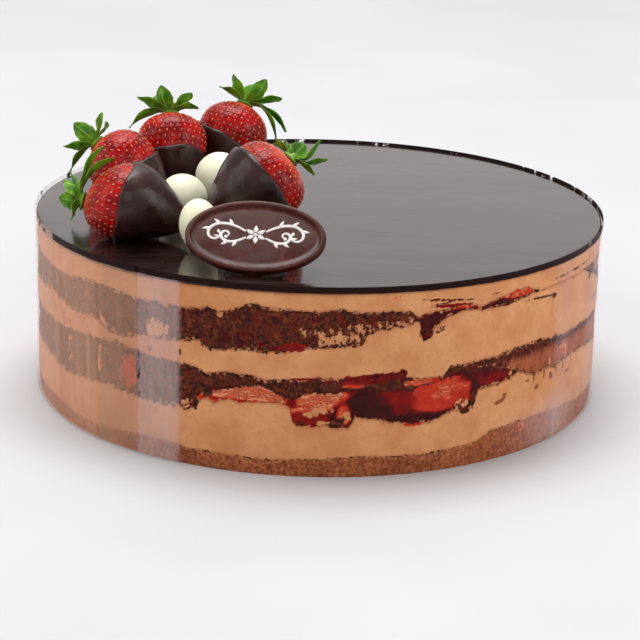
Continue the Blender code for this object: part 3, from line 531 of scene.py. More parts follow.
def icing_material():
    g = Graph("icing")
    tint = g.mix(g.patchy(1.5, 3, 0.4, 0.7), srgb(236, 230, 226), srgb(214, 206, 206))
    g.set(Base_Color=tint, Roughness=g.patchy(1, 2, 0.3, 0.7, 0.4, 0.6))
    g.set(Normal=g.bump(g.noise(0.6, 3), 0.08 * MM, 0.5))
    return g.material


def mesh_piece(name, points, faces, material, slot, replaced=(), **attributes):
    """A smooth mesh that rides on the cake, with named values at its points."""
    mesh = bpy.data.meshes.new(name)
    mesh.from_pydata([tuple(map(float, p)) for p in points], [], [tuple(map(int, f)) for f in faces])
    mesh.shade_smooth()
    mesh.set_sharp_from_angle(angle=math.radians(50))
    for key, values in attributes.items():
        mesh.attributes.new(key, "FLOAT", "POINT").data.foreach_set("value", np.asarray(values, np.float32))
    mesh.materials.append(material)
    piece = bpy.data.objects.new(name, mesh)
    bpy.context.scene.collection.objects.link(piece)
    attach(piece, "root")
    if replaced:
        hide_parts(*replaced)


def ring_turns(count):
    """The turns of evenly spaced points round a ring, in radians."""
    return [2 * math.pi * k / count for k in range(count)]


def tube_faces(rows, columns, start=0, ends=None):
    """Faces between rings of points that begin at start. The first ring and the last stay open, or are
    closed by flat faces, or by the two points that follow the rings."""
    rings = [[start + row * columns + k for k in range(columns)] for row in range(rows)]
    faces = []
    for near, far in zip(rings, rings[1:]):
        faces += zip(near, near[1:] + near[:1], far[1:] + far[:1], far)
    first, last, after = rings[0], rings[-1], start + rows * columns
    if ends == "flat":
        faces += [first[::-1], last]
    if ends == "points":
        faces += [(b, a, after) for a, b in zip(first, first[1:] + first[:1])]
        faces += [(a, b, after + 1) for a, b in zip(last, last[1:] + last[:1])]
    return faces


def bar_faces(loops, count):
    """Faces of a bar: each loop of count points runs along it, and both its ends are flat."""
    faces = []
    for row in range(loops):
        a, b = row * count, (row + 1) % loops * count
        faces += [(a + k, a + k + 1, b + k + 1, b + k) for k in range(count - 1)]
    starts = [row * count for row in range(loops)]
    return faces + [starts, [a + count - 1 for a in reversed(starts)]]


def direction(rise, turn):
    """The unit vector at a rise from the level and a turn round it, in radians."""
    return np.array((math.cos(rise) * math.cos(turn), math.cos(rise) * math.sin(turn), math.sin(rise)))


def around(angle, radius, height):
    """Points at angles round the cake, as an array of rows."""
    turn = np.radians(angle)
    radius, height = np.broadcast_to(radius, turn.shape), np.broadcast_to(height, turn.shape)
    return np.stack([radius * np.sin(turn), -radius * np.cos(turn), height], axis=-1)


def ripple(angles, heights, size, octaves, shift):
    """Smooth noise, from -1 to 1 or so, over places on the side, with features of a size in millimetres."""
    places = around(angles, RADIUS / MM / size, heights / MM / size) + (0, 0, shift)
    return np.array([noise.fractal(Vector(p), 1.0, 2.0, octaves) for p in places])


def cad_rim(node, pick):
    """A CAD node's lowest or highest height at the side, as angles and metres."""
    found = {}
    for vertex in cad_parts[node].data.vertices:
        x, y, z = vertex.co
        if math.hypot(x, y) > RADIUS - 0.5 * MM:
            angle = round(math.degrees(math.atan2(x, -y)), 1)
            found[angle] = pick(found.get(angle, z), z)
    angles = sorted(found)
    return np.array(angles), np.array([found[a] for a in angles])


def edge(table, node, pick, raggedness, seed):
    """The height of a layer's edge at each column: the table at the front and the CAD rim elsewhere."""
    angles, heights = cad_rim(node, pick)
    behind = abs(angles) > SHOWN + 4
    shown = np.array(table, float)
    angles = np.concatenate([angles[behind], shown[:, 0]])
    heights = np.concatenate([heights[behind], shown[:, 1] * MM])
    order = np.argsort(angles)
    line = np.interp(COLUMNS, angles[order], heights[order], period=360)
    rough = ripple(COLUMNS, np.zeros_like(COLUMNS), 2.2, 4, seed) * raggedness * MM
    coarse = ripple(COLUMNS, np.zeros_like(COLUMNS), 9, 2, seed + 7) * 0.5 * MM
    return line + rough + coarse * (abs((COLUMNS + 180) % 360 - 180) > SHOWN)


def back_patches():
    """Patches for the side that the photograph doesn't show, of the same kinds as at the front."""
    draw = np.random.default_rng(SEED)
    levels = (28, 38, 48, 62)
    made = []
    for _ in range(BACK_PATCHES):
        angle = draw.uniform(SHOWN + 8, 360 - SHOWN - 10)
        level = levels[draw.integers(len(levels))]
        kind = ("sponge", "mousse", "jam")[draw.choice(3, p=(0.42, 0.33, 0.25))]
        wide, high = draw.uniform(0.3, 2.4), draw.uniform(0.5, 2.4)
        made.append((kind, angle, level + draw.normal(0, 3), wide, high, draw.uniform(-25, 25),
                     draw.uniform(0.55, 1), draw.choice((0.05, 0.2, 0.5, 0.9))))
    return made


def patch_values(angles, heights, patches, own):
    """How much of each other stuff shows at places on the side, and the tone of the jam there."""
    level = heights / MM
    values = {kind: np.zeros(len(angles)) for kind in ("mousse", "sponge", "jam")}
    tone, weight = np.full(len(angles), 0.02), np.full(len(angles), 0.02)
    if own == "jam":
        tone, weight = np.full(len(angles), 0.006), np.full(len(angles), 0.04)
        for angle, height, wide, high, shade in FILLING_TONES:
            near = np.clip(1.5 - np.hypot((angles - angle) / wide, (level - height) / high), 0, 1)
            tone, weight = tone * (1 - near) + shade * near, weight * (1 - near) + near
    for kind, angle, height, wide, high, slant, strength, *shade in patches:
        across = ((angles - angle + 180) % 360 - 180) * MM_PER_DEGREE
        up = level - height
        if not (abs(across) < 2 * wide * MM_PER_DEGREE + 2 * high).any():
            continue
        turn = math.radians(slant)
        along = across * math.cos(turn) + up * math.sin(turn)
        over = up * math.cos(turn) - across * math.sin(turn)
        near = np.clip(1.55 - np.hypot(along / (wide * MM_PER_DEGREE), over / high), 0, 1) * strength
        values[kind] = np.maximum(values[kind], near)
        if kind == "jam" and own != "jam":
            tone, weight = tone + shade[0] * near, weight + near
    values["tone"] = tone / weight
    values[own] = np.zeros(len(angles))
    # The lower sponge is paler on the right, from about 27 degrees
    values["warm"] = np.clip((angles - 27) / 9, 0, 1) * (angles < 90) * np.clip((46 - level) / 2, 0, 1)
    values["warm"] *= 0.75 * np.clip((level - 16) / 3, 0, 1) * np.clip((42.5 - level) / 6, 0.2, 1)
    return values


def fringe(away, kind, strength, values):
    """Adds a neighbour's crumbs or smears along an edge that lies away metres from each place."""
    near = strength * np.clip(1.3 - away / (1.2 * MM), 0, 1)
    values[kind] = np.maximum(values[kind], near)


def relief(own, angles, heights, values):
    """How far the side lies inside the cake's radius, in metres."""
    if own in ("sponge", "base"):
        depth = 0.42 + 0.3 * ripple(angles, heights, 2.4, 4, 3) + 0.12 * ripple(angles, heights, 0.9, 2, 9)
        depth = depth * (1 - np.clip(values["mousse"], 0, 1)) + 0.1
    elif own == "jam":
        depth = 0.36 + 0.3 * ripple(angles, heights, 3.4, 3, 5)
    else:
        depth = 0.1 + 0.05 * ripple(angles, heights, 6, 2, 2) + 0.25 * np.clip(values["sponge"], 0, 1)
    return np.maximum(depth, 0.02) * MM


def side_ring(angles, low, high, share, own, patches, neighbours, inset=0.0, rounding=0.22 * MM):
    """One ring of a layer's side, at a share of its height: its points, and what shows there. neighbours
    are what lies below and above, each as the kind and how strongly it breaks into the edge."""
    height = low + (high - low) * share
    values = patch_values(angles, height, patches, own)
    for away, (kind, strength) in zip((height - low, high - height), neighbours):
        if kind:
            fringe(away, kind, strength, values)
    values["edge"] = np.clip(1 - np.minimum(height - low, high - height) / EDGE_BAND, 0, 1)
    inside = inset + relief(own, angles, height, values) + rounding * (share in (0, 1))
    return around(angles, RADIUS - inside, height), values


def slab(name, node, own, low, high, patches, neighbours, material, inset):
    """A closed layer between two ragged edges, with relief on its side."""
    inset = np.broadcast_to(inset, COLUMNS.shape)
    rows = max(4, int(np.percentile(high - low, 90) / (ROW * MM)) + 1)
    middle_low, middle_high = (level * MM for level in MIDDLE_LEVELS[name])

    def inner_ring(inside, rim, middle):
        """A ring inside the cake, where the height goes from the rim's to the middle's."""
        height = middle + (rim - middle) * max(0, 1 - inside / RIM_BAND)
        return around(COLUMNS, RADIUS - np.maximum(inset, 0) - inside, height)

    points = [inner_ring(inside, low, middle_low) for inside in MIDDLE_RINGS[::-1]]
    side = [side_ring(COLUMNS, low, high, row / (rows - 1), own, patches, neighbours, inset)
            for row in range(rows)]
    points += [ring for ring, _ in side]
    points += [inner_ring(inside, high, middle_high) for inside in MIDDLE_RINGS]
    faces = tube_faces(len(points), len(COLUMNS), ends="points")
    points = np.concatenate(points + [[(0, 0, middle_low), (0, 0, middle_high)]])
    first, shown = len(MIDDLE_RINGS) * len(COLUMNS), rows * len(COLUMNS)
    attributes = {key: np.zeros(len(points)) for key in SIDE_VALUES}
    for key in SIDE_VALUES:
        attributes[key][first:first + shown] = np.concatenate([values[key] for _, values in side])
    mesh_piece(name, points, faces, material, own, (node,), **attributes)


def wedge(name, node, low, high, reach, over, patches, material):
    """A pocket of filling that shows at the side and thins out inwards, with over above it."""
    inside = (COLUMNS >= reach[0]) & (COLUMNS <= reach[1])
    angles, low, high = COLUMNS[inside], low[inside], high[inside]
    high = np.maximum(high, low + 0.25 * MM)
    rows = max(5, int(np.percentile(high - low, 90) / (0.6 * MM)) + 1)
    neighbours = (("mousse", 0.47), (over, 0.47))
    side = [side_ring(angles, low, high, row / (rows - 1), "jam", patches, neighbours, rounding=0.25 * MM)
            for row in range(rows)]
    points = [ring for ring, _ in side] + [around(angles, RADIUS - POCKET_DEPTH, (low + high) / 2)]
    side.append((None, {key: np.zeros(len(angles)) for key in SIDE_VALUES}))
    attributes = {key: np.concatenate([values[key] for _, values in side]) for key in SIDE_VALUES}
    mesh_piece(name, np.concatenate(points), bar_faces(rows + 1, len(angles)), material, "filling", (node,),
               **attributes)


def cake_side():
    """The layers from the underside up to the glaze. Gives the height of the glaze's underside."""
    patches = [(kind, *row) for kind, rows in PATCHES.items() for row in rows] + back_patches()
    materials = {own: side_material("side_" + own, own) for own in ("base", "mousse", "sponge", "jam")}
    underside = np.interp(COLUMNS, *cad_rim("chocolate_glaze", min), period=360)
    base_low = np.zeros_like(underside)
    base_top = edge(BASE_TOP, "base_sponge", max, 0.4, 1)
    mousse_top = edge(LOWER_MOUSSE_TOP, "lower_sponge", min, 0.6, 2)
    sponge_low = np.maximum(edge(LOWER_SPONGE_BOTTOM, "lower_sponge", min, 0.6, 2), mousse_top)
    sponge_high = edge(LOWER_SPONGE_TOP, "lower_sponge", max, 0.6, 3)
    upper_low = edge(UPPER_SPONGE_BOTTOM, "upper_sponge", min, 0.6, 4)
    upper_high = np.maximum(edge(UPPER_SPONGE_TOP, "upper_sponge", max, 0.55, 5), upper_low)

    def layer(name, node, own, low, high, below, above, inset=0.0):
        slab(name, node, own, low, high, patches, (below, above), materials[own], inset)

    def within(reach, inside, outside):
        return np.where((COLUMNS >= reach[0]) & (COLUMNS <= reach[1]), inside, outside)

    clean = (None, 0)
    start, end = SPONGE_ABSENT
    hidden = np.clip((COLUMNS - start) / 1.5, 0, 1) * np.clip((end - COLUMNS) / 1.5, 0, 1)
    inner_low = np.where(hidden > 0, 58 * MM, upper_low)
    inner_high = np.where(hidden > 0, 62 * MM, upper_high)
    layer("fine_base_sponge", "base_sponge", "base", base_low, base_top, clean, ("mousse", 0.42))
    layer("fine_lower_mousse", "lower_mousse", "mousse", base_top, mousse_top, ("sponge", 0.42),
          ("sponge", within(FILLING_PARTS, 0.25, 0.47)))
    wedge("fine_filling", "strawberry_filling", mousse_top, sponge_low, FILLING_REACH, "sponge",
          patches, materials["jam"])
    layer("fine_lower_sponge", "lower_sponge", "sponge", sponge_low, sponge_high,
          ("mousse", within(FILLING_PARTS, 0, 0.47)), ("mousse", 0.44))
    layer("fine_upper_mousse_low", "upper_mousse", "mousse", sponge_high, upper_low, ("sponge", 0.42),
          ("sponge", within(MOUSSE_MEETS, 0, 0.47)))
    layer("fine_upper_sponge", "upper_sponge", "sponge", inner_low, inner_high, ("mousse", 0.5),
          ("mousse", 0.44), SPONGE_INSET * hidden)
    wedge("fine_filling_seam", "filling_seam", upper_low, upper_high, SEAM_REACH, "mousse",
          patches, materials["jam"])
    layer("fine_upper_mousse_high", "upper_mousse", "mousse", upper_high, underside,
          ("sponge", within(MOUSSE_MEETS, 0, 0.44)), clean)
    return underside


def glaze(underside):
    """The glaze, with a softly rounded rim."""
    round_off, steps = 0.9 * MM, 8
    rings = [around(COLUMNS, RADIUS - inside, underside + lift)
             for inside, lift in ((RIM_BAND, 0.02 * MM), (0.15 * MM, 0.02 * MM), (0, 0.3 * MM))]
    for step in range(steps + 1):
        turn = math.radians(90 * step / steps)
        inside, down = round_off * (1 - math.cos(turn)), round_off * (1 - math.sin(turn))
        rings.append(around(COLUMNS, RADIUS - inside, GLAZE_TOP - down))
    upright = len(rings) - 2
    rings += [around(COLUMNS, RADIUS - inside, GLAZE_TOP) for inside in (3 * MM, 30 * MM)]
    points = np.concatenate(rings + [[(0, 0, UNDER_GLAZE * MM), (0, 0, GLAZE_TOP)]])
    side = np.arange(len(points)) < upright * len(COLUMNS)
    faces = tube_faces(len(rings), len(COLUMNS), ends="points")
    mesh_piece("fine_glaze", points, faces, glaze_material(), "chocolate", ("chocolate_glaze",), side=side)


def film():
    """The film round the cake: its outer end laps over the inner one, and it waves a little."""
    start, overlap, ramp, thickness = -45, 10, 20, 0.3 * MM
    outer_end = start + overlap
    turns = np.arange(0, 360 + overlap + 0.1, 0.5)
    angles = start + turns
    turned = (angles + 180) % 360 - 180
    climb = np.clip((turns - 360 + ramp) / ramp, 0, 1) * 0.6 * MM
    wave = 0.08 * MM * ripple(angles, np.zeros_like(angles), 14, 2, 1)
    inner = RADIUS + 0.32 * MM + climb + np.abs(wave)
    # Painted reflection by angle round the cake, and the haze of the double film where it laps
    haze_and_reflection_by_angle = np.interp(turned, HAZE_AND_REFLECTION_ANGLES, HAZE_AND_REFLECTION_SHARES)
    # Painted reflection again low down on the right, the painted reflection cool tinted where it laps,
    # smudged at its rim and outer end
    low_veil = 0.24 * np.exp(-((turned - 52) / 9) ** 2)
    cool = np.interp(turned, (-84, -78, outer_end - 0.4, outer_end + 0.4, -25, 44), (1, 0, 0, 1, 1, 1))
    rim = np.select([abs(turned) <= 62, (turned < -62) & (turned > -165)], [0.95, 0.36], 0.68)
    mark = 0.9 * np.exp(-((turned - outer_end - 0.3) / 0.3) ** 2) * (turns < 60)
    levels = [level * MM for level in (2, 12, 22, 24, 36, 40, 42, 60)]
    heights = [FILM_BOTTOM, *levels, GLAZE_TOP - 1.6 * MM, GLAZE_TOP - 1.1 * MM, GLAZE_TOP, FILM_TOP]
    loop = [(height, 0) for height in heights] + [(height, thickness) for height in reversed(heights)]
    points, veil, smudge = [], [], []
    for height, out in loop:
        points.append(around(angles, np.minimum(inner + out, RADIUS + 1.2 * MM), height))
        veil.append((haze_and_reflection_by_angle + low_veil * (1 * MM < height < 14 * MM)) * (0.3 + 0.7 * (out > 0)))
        smudge.append(np.maximum(rim * (height > GLAZE_TOP - 1.3 * MM), mark * (22 * MM < height < 41 * MM)))
    faces = [face[::-1] for face in bar_faces(len(loop), len(angles))]
    mesh_piece("fine_film", np.concatenate(points), faces, film_material(), "film", ("clear_collar",),
               veil=np.concatenate(veil), cool=np.tile(cool, len(loop)), smudge=np.concatenate(smudge))


class Berry:
    """A strawberry's surface, from the crown to the tip, placed so that it rests on the glaze."""

    def __init__(self, crown, aim, length, width, shoulder, taper=0.68, bend=0.0, **_):
        self.crown = np.array(crown) * MM + (0, 0, GLAZE_TOP)
        self.axis = np.array(aim) * MM + (0, 0, GLAZE_TOP) - self.crown
        self.axis /= np.linalg.norm(self.axis)
        self.across = np.cross(self.axis, (0, 0, 1.0))
        self.across /= np.linalg.norm(self.across)
        self.up = np.cross(self.across, self.axis)
        self.length, self.half, self.bend = length * MM, width * MM / 2, bend * MM
        self.shoulder, self.taper = shoulder, taper
        reach = DIP_CLEARANCE + DIP_THICKNESS
        lowest = min(self.point(t, turn, reach)[2] for t in np.linspace(0.05, 1, 20)
                     for turn in np.linspace(0, 2 * math.pi, 24))
        self.crown[2] += GLAZE_TOP + GAP - SUNK - lowest

    def radius(self, t):
        return self.half * max(math.sin(math.pi * min(max(t, 0), 1) ** self.shoulder), 0) ** self.taper

    def spine(self, t):
        return self.crown + self.axis * self.length * t - self.up * self.bend * math.sin(math.pi * t)

    def skin(self, t, turn):
        out = self.radius(t) * (1 + UNEVEN * math.cos(2 * turn + 9 * self.half / self.length))
        return self.spine(t) + out * (self.up * math.cos(turn) + self.across * math.sin(turn))

    def normal(self, t, turn):
        """The direction out of the skin."""
        step = 0.01
        along = self.skin(min(t + step, 1), turn) - self.skin(max(t - step, 0), turn)
        round_it = self.skin(t, turn + step) - self.skin(t, turn - step)
        found = np.cross(round_it, along)
        size = np.linalg.norm(found)
        found = self.axis if size < 1e-12 or t > 0.999 else found / size
        inward = found @ (self.skin(t, turn) - self.crown - self.axis * self.length * 0.45) < 0
        return -found if inward else found

    def point(self, t, turn, offset=0.0):
        return self.skin(t, turn) + self.normal(t, turn) * offset

    def clear(self, point, clearance):
        """The point, moved straight out from the axis to a clearance above the skin if it is nearer."""
        share = min(float(np.dot(np.array(point) - self.crown, self.axis)) / self.length, 1)
        if share <= 0:
            return point
        centre = self.spine(share)
        out = np.array(point) - centre
        distance = np.linalg.norm(out)
        least = self.radius(share) * (1 + UNEVEN) + clearance
        return Vector(centre + out / distance * max(distance, least))


def dip_line(turn, dip):
    mean, upward, across = dip
    waves = 0.012 * math.sin(3 * turn + 1) + 0.008 * math.sin(5 * turn)
    return mean + upward * math.cos(turn) + across * math.sin(turn) + waves


def seed_places(berry, dip):
    """Where the seeds sit: rings round the berry, each turned half a space against the last."""
    places, t, odd = [], 0.055, 0
    while t < 0.8:
        count = max(6, round(2 * math.pi * berry.radius(t) / SEED_SPACING))
        for k in range(count):
            turn = 2 * math.pi * (k + 0.5 * odd) / count + 0.35 * math.sin(5 * t)
            if t < dip_line(turn, dip) - 0.012:
                places.append((t, turn))
        slope = math.hypot(berry.length, (berry.radius(t + 0.01) - berry.radius(t)) / 0.01)
        t += 0.8 * SEED_SPACING / slope
        odd = 1 - odd
    return places


def strawberry(name, berry, dip, materials):
    """The fruit with its pits and seeds, and the chocolate that its tip was dipped in."""
    places = seed_places(berry, dip)
    tree = kdtree.KDTree(len(places))
    for index, (t, turn) in enumerate(places):
        tree.insert(berry.skin(t, turn), index)
    tree.balance()
    bed = GLAZE_TOP + GAP + 0.9 * MM
    points, along, pits = [], [], []
    for row in range(BERRY_ROWS + 1):
        t = 0.02 + 0.965 * (row / BERRY_ROWS) ** 1.3
        for turn in ring_turns(BERRY_COLUMNS):
            here = berry.skin(t, turn)
            away = tree.find(here)[2]
            pit = math.exp(-(away / PIT_RADIUS) ** 2 * 1.6) if t < dip_line(turn, dip) + 0.03 else 0
            swell = 0.16 * MM * noise.noise(Vector(here / (7 * MM)))
            here = here + berry.normal(t, turn) * (swell + FLESH - PIT_DEPTH * pit)
            here[2] = max(here[2], bed)
            points.append(here)
            along.append(t)
            pits.append(pit)
    points += [berry.point(0, 0, -0.6 * MM), berry.skin(1, 0)]
    faces = tube_faces(BERRY_ROWS + 1, BERRY_COLUMNS, ends="points")
    mesh_piece("fruit_" + name, points, faces, materials["berry"], "berry", ("berry_" + name,),
               along=along + [0, 1], pit=pits + [0, 0])
    seeds(name, berry, places, materials["seed"])
    coat(name, berry, dip, materials["dip"])


def seeds(name, berry, places, material):
    """Small pointed seeds that lie in the pits, all in one mesh."""
    sides, half_length, half_width, half_height = 8, 0.66 * MM, 0.38 * MM, 0.3 * MM
    shape = ((-0.72, 0.62), (-0.1, 1.0), (0.5, 0.72))
    points, faces = [], []
    for t, turn in places:
        normal = berry.normal(t, turn)
        centre = berry.skin(t, turn) + normal * (FLESH - PIT_DEPTH + 0.12 * MM)
        along = berry.skin(min(t + 0.01, 1), turn) - berry.skin(t, turn)
        along /= np.linalg.norm(along)
        side = np.cross(normal, along)
        faces += tube_faces(len(shape), sides, len(points), "points")
        for share, wide in shape:
            for spin in ring_turns(sides):
                reach = along * share * half_length + side * wide * half_width * math.cos(spin)
                points.append(centre + reach + normal * wide * half_height * math.sin(spin))
        points += [centre - along * half_length, centre + along * (half_length + 0.08 * MM)]
    mesh_piece("seeds_" + name, points, faces, material, "berry")


def coat(name, berry, dip, material):
    """The dipped chocolate: a shell with a rounded lip, flat where it set on the glaze."""
    turns = ring_turns(DIP_COLUMNS)
    lip = ((-0.012, -0.1), (-0.016, 0.35), (-0.008, 0.75), (0.006, 0.95))
    thick = DIP_CLEARANCE + DIP_THICKNESS - 0.15 * MM
    points = []
    for ahead, share in lip:
        for turn in turns:
            fine = 0.006 * noise.noise(Vector((3 * math.cos(turn), 3 * math.sin(turn), berry.length * 900)))
            t = dip_line(turn, dip) + ahead + fine
            points.append(berry.point(t, turn, 0.2 * MM + thick * share * 0.86))
    for row in range(1, DIP_ROWS + 1):
        for turn in turns:
            start = dip_line(turn, dip) + lip[-1][0]
            t = start + (0.985 - start) * (row / DIP_ROWS) ** 0.95
            here = berry.point(t, turn, thick)
            points.append(here + berry.normal(t, turn) * 0.22 * MM * noise.noise(Vector(here / (6 * MM))))
    points += [berry.spine(dip[0] + 0.05), berry.point(1, 0, thick)]
    points = [(x, y, max(z, GLAZE_TOP + 0.04 * MM)) for x, y, z in points]
    faces = tube_faces(len(lip) + DIP_ROWS, DIP_COLUMNS, ends="points")
    mesh_piece("coat_" + name, points, faces, material, "chocolate", ("dip_" + name,))


def leaf_blade(berry, start, way, tip, across):
    """One thin blade that leaves start along way, bends to the tip and folds along its vein. Gives its
    points, each with how far it lies along the blade and away from the vein."""
    start, way, tip = Vector(start), Vector(way).normalized(), Vector(tip)
    turn_at = start + way * (tip - start).length * 0.5
    spread = [2 * column / (LEAF_COLUMNS - 1) - 1 for column in range(LEAF_COLUMNS)]
    made = []
    for row in range(LEAF_ROWS + 1):
        t = row / LEAF_ROWS
        centre = start.lerp(turn_at, t).lerp(turn_at.lerp(tip, t), t)
        along = (turn_at - start).lerp(tip - turn_at, t).normalized()
        normal = across.cross(along).normalized()
        notches = 1 + 0.04 * math.sin(26 * t)
        half = max(LEAF_WIDTH / 2 * (0.28 + 2.3 * t) * (1 - t) ** 0.66 * notches, 0.08 * MM)
        for face, outs in ((0.5, spread), (-0.5, spread[::-1])):
            for out in outs:
                fold = 0.24 * half * abs(out) ** 1.3 + 0.35 * MM * math.sin(7 * t + 2 * out)
                fold += 0.22 * MM * math.sin(15 * t + 4 * abs(out)) * abs(out)
                thin = LEAF_THICKNESS * (1 - 0.55 * out * out)
                middle = berry.clear(centre + across * half * out + normal * fold, LEAF_CLEARANCE)
                made.append((middle + normal * face * thin, t, abs(out)))
    return made


def crown_of_leaves(name, berry, leaves, material):
    """The berry's leaves on a small hub with the stub of its stalk."""
    back = -berry.axis
    centre = berry.crown + back * 1.15 * MM
    sides = 20
    profile = ((3.5, -0.7), (3.7, -0.2), (3.0, 0.35), (1.9, 0.75), (1.35, 1.3), (1.2, 2.1), (1.0, 2.3))
    made = []
    for radius, rise in profile:
        for turn in ring_turns(sides):
            out = radius * MM * (1 + 0.06 * math.sin(5 * turn))
            round_it = berry.up * math.cos(turn) + berry.across * math.sin(turn)
            made.append((centre + back * rise * MM + out * round_it, 0.05, 0.5))
    faces = tube_faces(len(profile), sides, ends="flat")
    for right, high, near in leaves:
        tip = centre + np.array((right, -near, high)) * MM
        toward = tip - centre
        outward = toward - back * (toward @ back)
        outward /= np.linalg.norm(outward)
        start = centre + outward * 0.8 * MM + back * 0.05 * MM
        faces += tube_faces(LEAF_ROWS + 1, 2 * LEAF_COLUMNS, len(made), "flat")
        made += leaf_blade(berry, start, outward + 0.35 * back, tip, Vector(np.cross(outward, back)))
    points, along, across = zip(*made)
    mesh_piece("leaves_" + name, points, faces, material, "leaf", ("calyx_" + name,), along=along,
               across=across)


def ball(index, material):
    """A white chocolate ball, a little uneven, where the frame has it."""
    node = f"white_ball_{index}"
    low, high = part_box(node)
    middle, half = (low + high) / 2, (high - low) / 2
    rows, columns = 40, 64
    points = []
    for row in range(1, rows):
        rise = math.pi * row / rows - math.pi / 2
        for turn in ring_turns(columns):
            way = Vector(direction(rise, turn))
            lump = 1 + 0.012 * noise.noise(way * 2.2 + Vector((index * 9, 0, 0))) - 0.006
            points.append([m + h * w * lump for m, h, w in zip(middle, half, way)])
    points += [(middle.x, middle.y, low.z), (middle.x, middle.y, high.z)]
    faces = tube_faces(rows - 1, columns, ends="points")
    mesh_piece(f"fine_ball_{index}", points, faces, material, "white", (node,))


def plaque_frame():
    """The lowest point of the plaque's back, and its ways across, up its slope and out of its face."""
    lean, roll = math.radians(PLAQUE_LEAN), math.radians(PLAQUE_ROLL)
    slope = np.array((0, math.cos(lean), math.sin(lean)))
    face = np.array((0, -math.sin(lean), math.cos(lean)))
    across = np.array((1.0, 0, 0)) * math.cos(roll) + slope * math.sin(roll)
    slope = slope * math.cos(roll) - np.array((1.0, 0, 0)) * math.sin(roll)
    return np.array((*PLAQUE_FOOT, GLAZE_TOP + GAP + 0.1 * MM)), across, slope, face


def plaque(material):
    """The moulded plate with its rounded rim."""
    foot, across, slope, face = plaque_frame()
    rim, step = PLAQUE_RIM
    soft, sides, steps = 0.55 * MM, 128, 5
    rounds = [math.radians(90 * k / steps) for k in range(steps + 1)]
    rings = [(0.7 * MM, 0), (0.25 * MM, 0.1 * MM), (0, 0.5 * MM)]
    for turn in rounds:
        rings.append((soft * (1 - math.cos(turn)), PLAQUE_THICKNESS - soft * (1 - math.sin(turn))))
    for turn in rounds:
        rings.append((rim - soft * (1 - math.sin(turn)), PLAQUE_THICKNESS - soft * (1 - math.cos(turn))))
    rings += [(rim + inside * MM, PLAQUE_THICKNESS - step + rise * MM)
              for inside, rise in ((0.35, 0), (2, 0.05), (6, 0.08))]
    points = []
    for inside, height in rings:
        for turn in ring_turns(sides):
            right = (PLAQUE_HALF[0] - inside) * math.cos(turn)
            up = (PLAQUE_HALF[1] - inside) * math.sin(turn) + PLAQUE_HALF[1]
            points.append(foot + across * right + slope * up + face * height)
    faces = tube_faces(len(rings), sides, ends="flat")
    mesh_piece("fine_plaque", points, faces, material, "plaque", ("chocolate_plaque",))


def dab(material):
    """The lump of chocolate behind the plaque that holds it up, cut flat where the plaque leans on it."""
    foot, _, _, face = plaque_frame()
    middle = np.array((PLAQUE_FOOT[0], PLAQUE_FOOT[1] + DAB_BEHIND, GLAZE_TOP + 0.03 * MM))
    columns, levels = 64, 24
    points = []
    for row in range(levels):
        rise = math.pi / 2 * row / levels
        for turn in ring_turns(columns):
            way = direction(rise, turn)
            points.append(middle + way * DAB_HALF * (1 + 0.05 * noise.noise(Vector(way * 3))))
    points += [middle, middle + (0, 0, DAB_HALF[2])]
    points = [here - face * max((here - foot) @ face + 0.05 * MM, 0) for here in points]
    points = [(x, y, max(z, middle[2])) for x, y, z in points]
    faces = tube_faces(levels, columns, ends="points")
    mesh_piece("fine_dab", points, faces, material, "chocolate", ("plaque_dab",))


